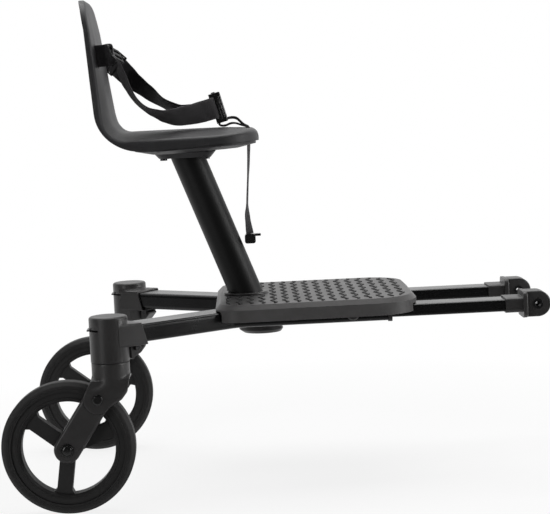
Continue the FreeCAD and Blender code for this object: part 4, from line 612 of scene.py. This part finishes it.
class BOARD_OT_studio(bpy.types.Operator):
    """Sets up the camera, the floor, the white background and the lamps"""

    bl_idname = "buggy_board.studio"
    bl_label = "Studio"

    def execute(self, context):
        studio = context.scene.studio_settings
        context.scene.view_settings.view_transform = "Standard"
        self.camera(context, studio)
        self.world(context, studio)
        self.floor()
        board = (-0.1, 0, 0.25)
        self.lamp("softbox_top", (-0.05, 0.35, 1.9), (-0.02, 0.05, 0.25), 1.7, 1.2, studio.top_power)
        self.lamp("softbox_left", (-1.5, -1.6, 0.7), board, 0.6, 1.4, studio.left_power)
        self.lamp("softbox_right", (2.1, -0.5, 0.7), board, 0.6, 1.4, studio.right_power)
        self.lamp("fill_front", (0.5, -2.2, 1.3), (0, 0, 0.25), 1.2, 0.8, studio.front_power)
        return {"FINISHED"}

    def camera(self, context, studio):
        """Stands the camera where the picture was taken."""
        yaw, pitch, roll = studio.camera_yaw, studio.camera_pitch, studio.camera_roll
        ahead = Vector((math.sin(yaw) * math.cos(pitch), math.cos(yaw) * math.cos(pitch), -math.sin(pitch)))
        level = ahead.cross(Vector((0, 0, 1))).normalized()
        upright = level.cross(ahead)
        right = level * math.cos(roll) - upright * math.sin(roll)
        up = upright * math.cos(roll) + level * math.sin(roll)
        data = bpy.data.cameras.new("photo_camera")
        data.sensor_fit = "HORIZONTAL"
        data.sensor_width = SENSOR_WIDTH
        data.lens = SENSOR_WIDTH * studio.focal_pixels / PICTURE_WIDTH
        data.clip_start, data.clip_end = 0.05, 50
        camera = bpy.data.objects.new("photo_camera", data)
        turn = Matrix((right, up, -ahead)).transposed().to_4x4()
        camera.matrix_world = Matrix.Translation(studio.camera_place) @ turn
        context.scene.collection.objects.link(camera)
        context.scene.camera = camera

    def seen(self, finish):
        """One for rays from the camera, and one for rays that come by a reflection or through glass."""
        ray = finish.node("ShaderNodeLightPath", output="Is Camera Ray")
        glossy = finish.node("ShaderNodeLightPath", output="Is Glossy Ray")
        clear = finish.node("ShaderNodeLightPath", output="Is Transmission Ray")
        return ray, glossy + clear

    def world(self, context, studio):
        """Shows white to the camera, a bright rear to reflections and a little even light to the rest."""
        world = bpy.data.worlds.new("white_studio")
        world.use_nodes = True
        context.scene.world = world
        f = Finish("white_studio", world.node_tree)
        ray, shown = self.seen(f)
        way = f.node("ShaderNodeTexCoord", output="Generated")
        ahead = f.node("ShaderNodeSeparateXYZ", None, {0: way}, output="Y")
        rear = f.clamp(ahead, -0.15, 0.35, 0.04, 1)
        strength = ray + shown * rear + (1 - ray - shown) * studio.ambient
        back = f.node("ShaderNodeBackground", None, {"Color": WHITE, "Strength": strength})
        f.node("ShaderNodeOutputWorld", None, {"Surface": back})

    def floor(self):
        """Lays a pale floor that runs out into white round the board."""
        f = Finish("pale_floor")
        ray, shown = self.seen(f)
        speckle = f.noise(60, 3)
        away = f.node("ShaderNodeVectorMath", {"operation": "LENGTH"}, {0: f.place()}, output="Value")
        ahead = f.node("ShaderNodeSeparateXYZ", None, {0: f.place()}, output="Y")
        tone = f.blend(speckle, (0.86, 0.86, 0.86), (0.9, 0.9, 0.9))
        glow = f.clamp(ahead, -0.6, 0.3, 0.1, 1)
        pale = f.node("ShaderNodeBsdfDiffuse", None, {"Color": tone})
        white = f.node("ShaderNodeEmission", None, {"Color": WHITE, "Strength": 1.0})
        shine = f.node("ShaderNodeEmission", None, {"Color": WHITE, "Strength": glow})
        paper = f.node("ShaderNodeMixShader", None, {0: f.clamp(away, 0.4, 0.85, 0.84, 1), 1: pale, 2: white})
        both = f.node("ShaderNodeMixShader", None, {0: ray, 1: pale, 2: paper})
        both = f.node("ShaderNodeMixShader", None, {0: shown, 1: both, 2: shine})
        f.node("ShaderNodeOutputMaterial", None, {"Surface": both})
        build = bmesh.new()
        radius, drop = 9, 0.0003
        bmesh.ops.create_circle(build, cap_ends=True, segments=96, radius=radius)
        mesh = bpy.data.meshes.new("floor")
        build.to_mesh(mesh)
        build.free()
        mesh.materials.append(f.material)
        floor = link("floor", mesh)
        floor.location.z = -drop

    def lamp(self, name, place, target, width, height, power):
        """Hangs a softbox that faces a target."""
        data = bpy.data.lights.new(name, "AREA")
        data.shape = "RECTANGLE"
        data.size, data.size_y = width, height
        data.energy = power
        lamp = bpy.data.objects.new(name, data)
        lamp.location = place
        lamp.rotation_mode = "QUATERNION"
        lamp.rotation_quaternion = (Vector(target) - Vector(place)).to_track_quat("-Z", "Y")
        bpy.context.scene.collection.objects.link(lamp)


class BOARD_OT_tail(bpy.types.Operator):
    """Hangs the loose strap tail from the seat, with its clip on the end"""

    bl_idname = "buggy_board.tail"
    bl_label = "Strap tail"

    def execute(self, context):
        sizes = context.scene.strap_sizes
        low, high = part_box("tail_strap")
        set_back, into_seat, hem_rows = 0.0017, 0.005, (0.012, 0.007)
        exit_at = Vector((high.x - set_back, 0, high.z + into_seat))
        foot = Vector((low.x + sizes.thickness / 2, 0, low.z))
        hanging = millimetres(((-28.9, 0, 404), (0.2, 1, 0)), ((-31, 0, 380), (0.1, 1, 0)),
                              ((-33.4, 0, 350), (0.12, 1, 0)), ((-34.4, 0, 330), (0.6, 1, 0)))
        stations = [(exit_at, (0.28, 1, 0)), *hanging, (foot, (1.2, 1, 0))]
        finish = webbing_for(context, "tail_webbing", sizes.tail_width)
        tail, points, lie = strap("tail_webbing", stations, sizes.tail_width, sizes.thickness, sizes.steps,
                                  finish)
        length = lie[-1][0]
        hem = sew("tail_stitches", lie, [length - back for back in hem_rows], sizes.tail_width,
                  sizes.thickness, thread_for(context))
        for piece in (tail, hem):
            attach(piece, "seat")
        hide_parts("tail_strap")
        return {"FINISHED"}


class BOARD_OT_lap_straps(bpy.types.Operator):
    """Weaves the two lap straps from the backrest to the buckle"""

    bl_idname = "buggy_board.lap_straps"
    bl_label = "Lap straps"

    def execute(self, context):
        sizes = context.scene.strap_sizes
        near = millimetres(
            ((-214.6, -58, 544), (0, 0, -1)), ((-201.3, -58.3, 544.3), (0, 0, -1)),
            ((-193, -62, 546), (0.2, 0.1, -0.97)), ((-186, -66, 543), (0.45, 0.55, -0.7)),
            ((-183, -69.5, 528), (-0.25, 0.9, -0.3)), ((-177.5, -72, 513), (-0.37, 0.92, -0.15)),
            ((-172, -73.5, 500), (-0.28, 0.95, -0.1)), ((-164.5, -74.5, 487), (-0.22, 0.97, -0.12)),
            ((-154.5, -73, 477), (-0.1, 0.97, -0.22)), ((-141, -69, 470.3), (0, 0.92, -0.38)),
            ((-126, -62.5, 466.3), (0.18, 0.81, -0.55)),
            ((-106.5, -49, 465), (-0.04, 0.45, -0.89)), ((-81, -38, 470), (0.2, 0.15, -0.97)),
            ((-65.4, -34, 474.2), (0.259, 0, -0.966)), ((-65.4, -25.2, 474.2), (0.259, 0, -0.966)))
        far = millimetres(
            ((-214.6, 58, 544), (0, 0, -1)), ((-203, 58.2, 543), (0, 0, -1)),
            ((-196, 62, 535), (-0.25, 0.1, -0.96)),
            ((-187, 67.5, 524.5), (-0.45, 0.3, -0.84)), ((-175, 72, 512), (-0.5, 0.55, -0.67)),
            ((-159.5, 73, 499.5), (-0.43, 0.71, -0.55)), ((-137, 66, 481.5), (-0.26, 0.9, -0.33)),
            ((-116, 56, 470), (-0.2, 0.8, -0.5)), ((-93, 44, 466), (0, 0.4, -0.9)),
            ((-77.3, 36, 471), (0.2, 0.1, -0.97)), ((-65.9, 34, 474.5), (0.259, 0, -0.966)),
            ((-65.9, 25.2, 474.5), (0.259, 0, -0.966)))
        slider_rows, buckle_rows = (0.062, 0.067, 0.072), (0.026, 0.021)
        finish, thread = webbing_for(context, "lap_webbing", sizes.lap_width), thread_for(context)
        for side, stations in (("right", near), ("left", far)):
            piece, _, lie = strap(f"lap_webbing_{side}", stations, sizes.lap_width, sizes.thickness,
                                  sizes.steps, finish)
            length = lie[-1][0]
            rows = (*slider_rows, *(length - back for back in buckle_rows))
            stitches = sew(f"lap_stitches_{side}", lie, rows, sizes.lap_width, sizes.thickness, thread)
            for made in (piece, stitches):
                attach(made, "seat")
            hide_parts(f"lap_strap_{side}")
        return {"FINISHED"}


class BOARD_OT_sliders(bpy.types.Operator):
    """Makes the two strap sliders, each a plate with two slots and a bar between them"""

    bl_idname = "buggy_board.sliders"
    bl_label = "Strap sliders"

    def execute(self, context):
        lies = (((-187.5, -66, 545.5), (0.35, -0.4, -0.85), (0.5, 0.62, -0.6)),
                ((-199, 60.5, 538), (0.68, 0.3, -0.65), (-0.35, 0.15, -0.92)))
        half_length, bar, web, half_width, end, depth = 0.009, 0.003, 0.0018, 0.0158, 0.0021, 0.0032
        cuts_along = (-half_length, bar - half_length, -web, web, half_length - bar, half_length)
        cuts_across = (-half_width, end - half_width, half_width - end, half_width)
        build = bmesh.new()
        for centre, along, across in lies:
            lie = facing(Vector(along), Vector(across), Vector(centre) / 1000)
            slotted_plate(build, cuts_along, cuts_across, ((1, 1), (3, 1)), depth, lie)
        colour = tuple(context.scene.board_colours.gloss)
        gloss = polished_plastic("slider_gloss", colour, 0.42, coat=0, spec=0.3)
        sliders = piece_from("slider_pair", build, gloss)
        soften(sliders, 0.0009)
        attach(sliders, "seat")
        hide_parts("strap_adjusters")
        return {"FINISHED"}


class BOARD_OT_buckle_frames(bpy.types.Operator):
    """Frames the buckle's two ends with slotted plates, and ribs its ends and faces for grip"""

    bl_idname = "buggy_board.buckle_frames"
    bl_label = "Buckle frames"

    def execute(self, context):
        lean, set_off = math.radians(15), Vector((0.0014, 0, -0.0011))
        up, out = Vector((-math.sin(lean), 0, math.cos(lean))), Vector((math.cos(lean), 0, math.sin(lean)))
        centre, end = middle_of("belt_buckle") + set_off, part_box("belt_buckle")[1].y
        half_high, half_deep, frame_deep, proud = 0.0192, 0.007, 0.004, 0.0005
        slot_high, slot_deep = 0.0143, 0.0014
        end_rib_apart, end_rib_out, end_rib = 0.0043, 0.0006, (0.0138, 0.0008, 0.0014)
        grip_start, grip_pitch, grip_out, grip_rib = 0.0125, 0.0045, 0.006, (0.0105, 0.0009, 0.0013)
        build = bmesh.new()

        def rib(half_long, half_wide, depth, lie):
            slotted_plate(build, (-half_long, half_long), (-half_wide, half_wide), (), depth, lie)

        for side in (1, -1):
            lie = facing(up, out, centre + ACROSS * (side * (end - frame_deep / 2 + proud)))
            slotted_plate(build, (-half_high, -slot_high, slot_high, half_high),
                          (-half_deep, -slot_deep, slot_deep, half_deep), ((1, 1),), frame_deep, lie)
            for across in (-end_rib_apart, end_rib_apart):
                rib(*end_rib, facing(up, out, centre + out * across + ACROSS * (side * (end + end_rib_out))))
            for number in range(3):
                for face in (1, -1):
                    beside = ACROSS * (side * (grip_start + number * grip_pitch)) + out * (face * grip_out)
                    rib(*grip_rib, facing(up, ACROSS, centre + beside))
        gloss = polished_plastic("buckle_frame_gloss", tuple(context.scene.board_colours.gloss), 0.26)
        frames = piece_from("buckle_frames", build, gloss)
        soften(frames, 0.0005)
        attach(frames, "seat")
        return {"FINISHED"}


class BOARD_OT_crotch_strap(bpy.types.Operator):
    """Weaves the crotch strap from the buckle down through the seat"""

    bl_idname = "buggy_board.crotch_strap"
    bl_label = "Crotch strap"

    def execute(self, context):
        sizes = context.scene.strap_sizes
        line = ((-24.4, 427, 0), (-24.4, 438, 0), (-26, 447.5, -0.04), (-32.5, 450, -0.08),
                (-37, 454.5, -0.1), (-42, 459.8, -0.1), (-50.5, 460.4, -0.08), (-57, 457.6, -0.05),
                (-64.5, 454.3, 0), (-63.5, 450.4, 0), (-56, 450, 0.02), (-50, 453, 0.02), (-43, 453, 0),
                (-36, 450, 0), (-30.5, 448.6, 0), (-27.2, 446.5, 0), (-26.6, 438, 0), (-26.6, 427, 0))
        sewn_rows = (0.041, 0.046)
        stations = millimetres(*(((x, 0, z), (0, 1, twist)) for x, z, twist in line))
        finish = webbing_for(context, "crotch_webbing", sizes.crotch_width)
        piece, _, lie = strap("crotch_webbing", stations, sizes.crotch_width, sizes.crotch_thickness,
                              sizes.steps, finish)
        stitches = sew("crotch_stitches", lie, sewn_rows, sizes.crotch_width, sizes.crotch_thickness,
                       thread_for(context))
        for made in (piece, stitches):
            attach(made, "seat")
        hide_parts("crotch_strap")
        return {"FINISHED"}


class BOARD_OT_seat_moulding(bpy.types.Operator):
    """Draws the backrest out thinner towards its top, crowns the pan and rounds and lifts its front lip"""

    bl_idname = "buggy_board.seat_moulding"
    bl_label = "Seat moulding"

    def execute(self, context):
        levels = (455, 472, 511, 576, 602, 615)
        rear_moves = (0, 0.6, 1.2, 2.6, 1, -1)
        front_moves = (0, -2.4, -3.9, -6.5, -8.8, -11)
        belt_level, belt_face, lean, deep = 544, -205.9, math.tan(math.radians(5.8)), 17.6
        pan_under, pan_top, lip_x, lip_round = 425, 446, -15, 5

        def draw_out(place):
            """How far a point moves: sideways on the backrest, up in the pan and back at its lip."""
            x, level = place.x * 1000, place.z * 1000
            share = max(0, min(1, (x - belt_face + (level - belt_level) * lean) / deep + 1))
            rear, front = between(level, levels, rear_moves), between(level, levels, front_moves)
            under, over = between(x, (-130, -50, lip_x), (0, 3, 3.6)), between(x, (-60, lip_x), (1.8, -0.4))
            lift = between(level, (pan_under, pan_top), (under, over)) * between(x, (-200, -175), (0, 1))
            rise = lift * between(level, (455, 470), (1, 0))
            lip = between(x, (-45, lip_x), (0, 1)) * between(level, (434, pan_top), (0, 1))
            return Vector((rear * (1 - share) + front * share - lip * lip * lip_round, 0, rise)) / 1000

        finish = moulded_plastic("seat_plastic", tuple(context.scene.board_colours.shell), 0.5)
        reshaped("seat_moulding", "seat_shell", "seat", finish, draw_out, 4)
        reshaped("seat_cover", "seat_base", "seat", finish, draw_out, 4)
        return {"FINISHED"}


class BOARD_OT_housing_mouldings(bpy.types.Operator):
    """Trims the castor housings' sockets back along the arms that they hold"""

    bl_idname = "buggy_board.housing_mouldings"
    bl_label = "Housing mouldings"

    def execute(self, context):
        finish = castor_plastic(context, "housing_plastic")
        trim, end = 0.012, 0.0425
        for side in SIDES:
            axis = Vector((SWIVEL_X, middle_of(f"castor_yoke_{side}").y, 0))
            arm_end = Vector((ARM_BEND[0], math.copysign(ARM_BEND[1], axis.y), 0))
            along = (arm_end - axis).normalized()

            def trim_back(place):
                """Moves what lies past the socket's end back towards the housing."""
                return along * -trim if (Vector((place.x, place.y, 0)) - axis).dot(along) > end else Vector()

            reshaped(f"housing_moulding_{side}", f"castor_housing_{side}", "board", finish,
                     trim_back, 0)
        return {"FINISHED"}


class BOARD_OT_yoke_mouldings(bpy.types.Operator):
    """Draws the tops of the castor yokes' ears in to their round crowns"""

    bl_idname = "buggy_board.yoke_mouldings"
    bl_label = "Yoke mouldings"

    def execute(self, context):
        finish = castor_plastic(context, "yoke_plastic")
        flat_z, fork_z, full_z, neck_z = 0.147, 0.161, 0.165, 0.1711
        ear_inside, ear_least, finest, play = 0.0203, 0.0215, 0.003, 0.0001
        for side in SIDES:
            node = f"castor_yoke_{side}"
            axis_y, radius = middle_of(node).y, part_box(node)[1].x - SWIVEL_X

            def draw_in(place):
                """Moves an ear's outside in to the crown at its top, and less so further down."""
                x, y, z = place.x - SWIVEL_X, place.y - axis_y, place.z
                crown = math.sqrt(max(radius ** 2 - x ** 2, 0))
                if z > neck_z or abs(y) <= max(crown, ear_inside if z <= fork_z + play else 0):
                    return Vector()
                reach = abs(y) + (crown - abs(y)) * ease(between(z, (flat_z, full_z), (0, 1)))
                reach = max(reach, between(z, (fork_z, full_z), (min(ear_least, abs(y)), 0)))
                return Vector((0, math.copysign(reach, y) - y, 0))

            reshaped(f"yoke_moulding_{side}", node, f"castor_{side}", finish, draw_in, 6,
                     finest)
        return {"FINISHED"}


class BOARD_OT_axle_caps(bpy.types.Operator):
    """Turns the domed caps on the ends of the axles"""

    bl_idname = "buggy_board.axle_caps"
    bl_label = "Axle caps"

    def execute(self, context):
        gloss = polished_plastic("cap_gloss", tuple(context.scene.board_colours.gloss))
        profile = ((0, -0.4), (8, -0.4), (8, 1), (7.7, 1.4), (6.3, 1.6), (6, 1.2), (5.75, 1.2), (5.7, 1.9),
                   (5.3, 2.4), (4.3, 2.85), (2.8, 3.12), (1.4, 3.19), (0, 3.2))
        height = profile[-1][1] / 1000
        for side in SIDES:
            low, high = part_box(f"axle_caps_{side}")
            middle = middle_of(f"axle_caps_{side}")
            build = bmesh.new()
            for end, way in ((low.y, -1), (high.y, 1)):
                lathe(build, profile, Vector((middle.x, end - way * height, middle.z)), ACROSS * way)
            caps = piece_from(f"turned_caps_{side}", build, gloss)
            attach(caps, f"swing_{side}")
            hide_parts(f"axle_caps_{side}")
        return {"FINISHED"}


class BOARD_OT_wheel_beads(bpy.types.Operator):
    """Raises the thin moulded rings on the sides of the rims and tyres"""

    bl_idname = "buggy_board.wheel_beads"
    bl_label = "Wheel beads"

    def execute(self, context):
        c = context.scene.board_colours
        plastic = moulded_plastic("rim_bead_plastic", tuple(c.rim), 0.5, grain=0.0005)
        rubber = tyre_rubber("tyre_bead_rubber", tuple(c.tyre))
        beads = (("rim_beads", plastic, "rim_plastic", 0.0605, 0.0008, 0.0105),
                 ("tyre_beads", rubber, "tyre", 0.0712, 0.0006, 0.0125))
        for side in SIDES:
            middle = middle_of(f"tyre_{side}")
            for name, finish, slot, radius, thick, beside in beads:
                build = bmesh.new()
                for way in (1, -1):
                    hoop(build, radius, thick, middle + ACROSS * (way * beside), ACROSS)
                bead = piece_from(f"{name}_{side}", build, finish)
                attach(bead, f"wheel_{side}")
        return {"FINISHED"}


class BOARD_OT_coupling_eye_shades(bpy.types.Operator):
    """Puts a thin dark rubber ring in the eye of each coupling: painted shade, a dark piece that makes the
    eye look shaded inside
    """

    bl_idname = "buggy_board.coupling_lips"
    bl_label = "Coupling eye shades"

    def execute(self, context):
        # Painted shade: a dark ring that closes most of each eye so that it looks shaded inside.
        rubber = tyre_rubber("eye_shade_rubber", tuple(context.scene.board_colours.ridge))
        profile = ((2, -0.3), (2.3, -0.45), (3.62, -0.8), (3.62, 0.8), (2.3, 0.45), (2, 0.3), (2, -0.3))
        for side in SIDES:
            build = bmesh.new()
            lathe(build, profile, middle_of(f"coupling_bush_{side}"), ACROSS)
            bmesh.ops.remove_doubles(build, verts=build.verts, dist=SAME_PLACE)
            lip = piece_from(f"coupling_lip_{side}", build, rubber)
            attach(lip, f"arm_{side}")
        return {"FINISHED"}


class BOARD_OT_finishes(bpy.types.Operator):
    """Gives every rigid piece its finish"""

    bl_idname = "buggy_board.finishes"
    bl_label = "Finishes"

    def execute(self, context):
        c = context.scene.board_colours
        dress(moulded_plastic("bracket_plastic", tuple(c.shell), 0.5), "seat_bracket")
        dress(moulded_plastic("deck_plastic", tuple(c.deck_top), 0.42), "deck_shell")
        dress(moulded_plastic("ridge_rubber", tuple(c.ridge), 0.62, grain=0.0004), "deck_tread")
        dress(powder_coat("tube_coat", tuple(c.tube), 0.24, 0.35), *pair("frame_tube", "front_arm"),
              "cross_plate_rear", "cross_plate_front")
        dress(powder_coat("post_coat", tuple(c.post), 0.48, 0.3), "seat_post")
        dress(castor_plastic(context, "castor_plastic"), *pair("swing_leg_outer", "swing_leg_inner",
              "release_lever", "coupling", "arm_lock_button"), "post_socket", "sleeve_guides")
        dress(tyre_rubber("tyre_rubber", tuple(c.tyre)), *pair("tyre", "suspension_buffers"))
        dress(moulded_plastic("rim_plastic", tuple(c.rim), 0.5, grain=0.0005), *pair("rim"))
        dress(polished_plastic("pin_gloss", tuple(c.gloss)), *pair("pivot_pins"))
        dress(polished_plastic("buckle_gloss", tuple(c.gloss), 0.26), "belt_buckle",
              "buckle_prong_upper", "buckle_prong_lower", "strap_clip")
        dress(plated_steel("plated_steel", tuple(c.steel)), *pair("axle", "wheel_bearings"))
        dress(plated_steel("blackened_steel", tuple(c.black_steel), 0.34), *pair("coupling_bush"),
              "deck_screws", "seat_screws", "lever_pins", "stem_clips")
        dress(moulded_plastic("glide_plastic", tuple(c.glide), 0.38, grain=0.0008), *pair("arm_glide"),
              "swivel_bushes")
        return {"FINISHED"}


class BOARD_PT_panel(bpy.types.Panel):
    """Lists the board's making steps"""

    bl_idname = "BOARD_PT_panel"
    bl_label = "Buggy Board"
    bl_space_type = "VIEW_3D"
    bl_region_type = "UI"
    bl_category = "Buggy Board"

    def draw(self, context):
        for operator in OPERATORS:
            self.layout.operator(operator.bl_idname)
        for group in GROUPS:
            settings = getattr(context.scene, group)
            box = self.layout.box()
            for key in settings.bl_rna.properties.keys():
                if key not in ("rna_type", "name"):
                    box.prop(settings, key)


GROUPS = {"board_colours": BoardColours, "strap_sizes": StrapSizes, "studio_settings": StudioSettings}
OPERATORS = (BOARD_OT_studio, BOARD_OT_tail, BOARD_OT_lap_straps, BOARD_OT_crotch_strap, BOARD_OT_sliders,
             BOARD_OT_buckle_frames, BOARD_OT_seat_moulding, BOARD_OT_housing_mouldings,
             BOARD_OT_yoke_mouldings, BOARD_OT_axle_caps, BOARD_OT_wheel_beads, BOARD_OT_coupling_eye_shades,
             BOARD_OT_finishes)
CLASSES = (*GROUPS.values(), *OPERATORS, BOARD_PT_panel)


def register():
    for item in CLASSES:
        bpy.utils.register_class(item)
    for name, group in GROUPS.items():
        setattr(bpy.types.Scene, name, PointerProperty(type=group))


def unregister():
    for name in GROUPS:
        delattr(bpy.types.Scene, name)
    for item in reversed(CLASSES):
        bpy.utils.unregister_class(item)


def main():
    register()
    bpy.ops.buggy_board.studio()
    bpy.ops.buggy_board.tail()
    bpy.ops.buggy_board.lap_straps()
    bpy.ops.buggy_board.crotch_strap()
    bpy.ops.buggy_board.sliders()
    bpy.ops.buggy_board.buckle_frames()
    bpy.ops.buggy_board.seat_moulding()
    bpy.ops.buggy_board.housing_mouldings()
    bpy.ops.buggy_board.yoke_mouldings()
    bpy.ops.buggy_board.axle_caps()
    bpy.ops.buggy_board.wheel_beads()
    bpy.ops.buggy_board.coupling_lips()
    bpy.ops.buggy_board.finishes()


if __name__ == "__main__":
    main()
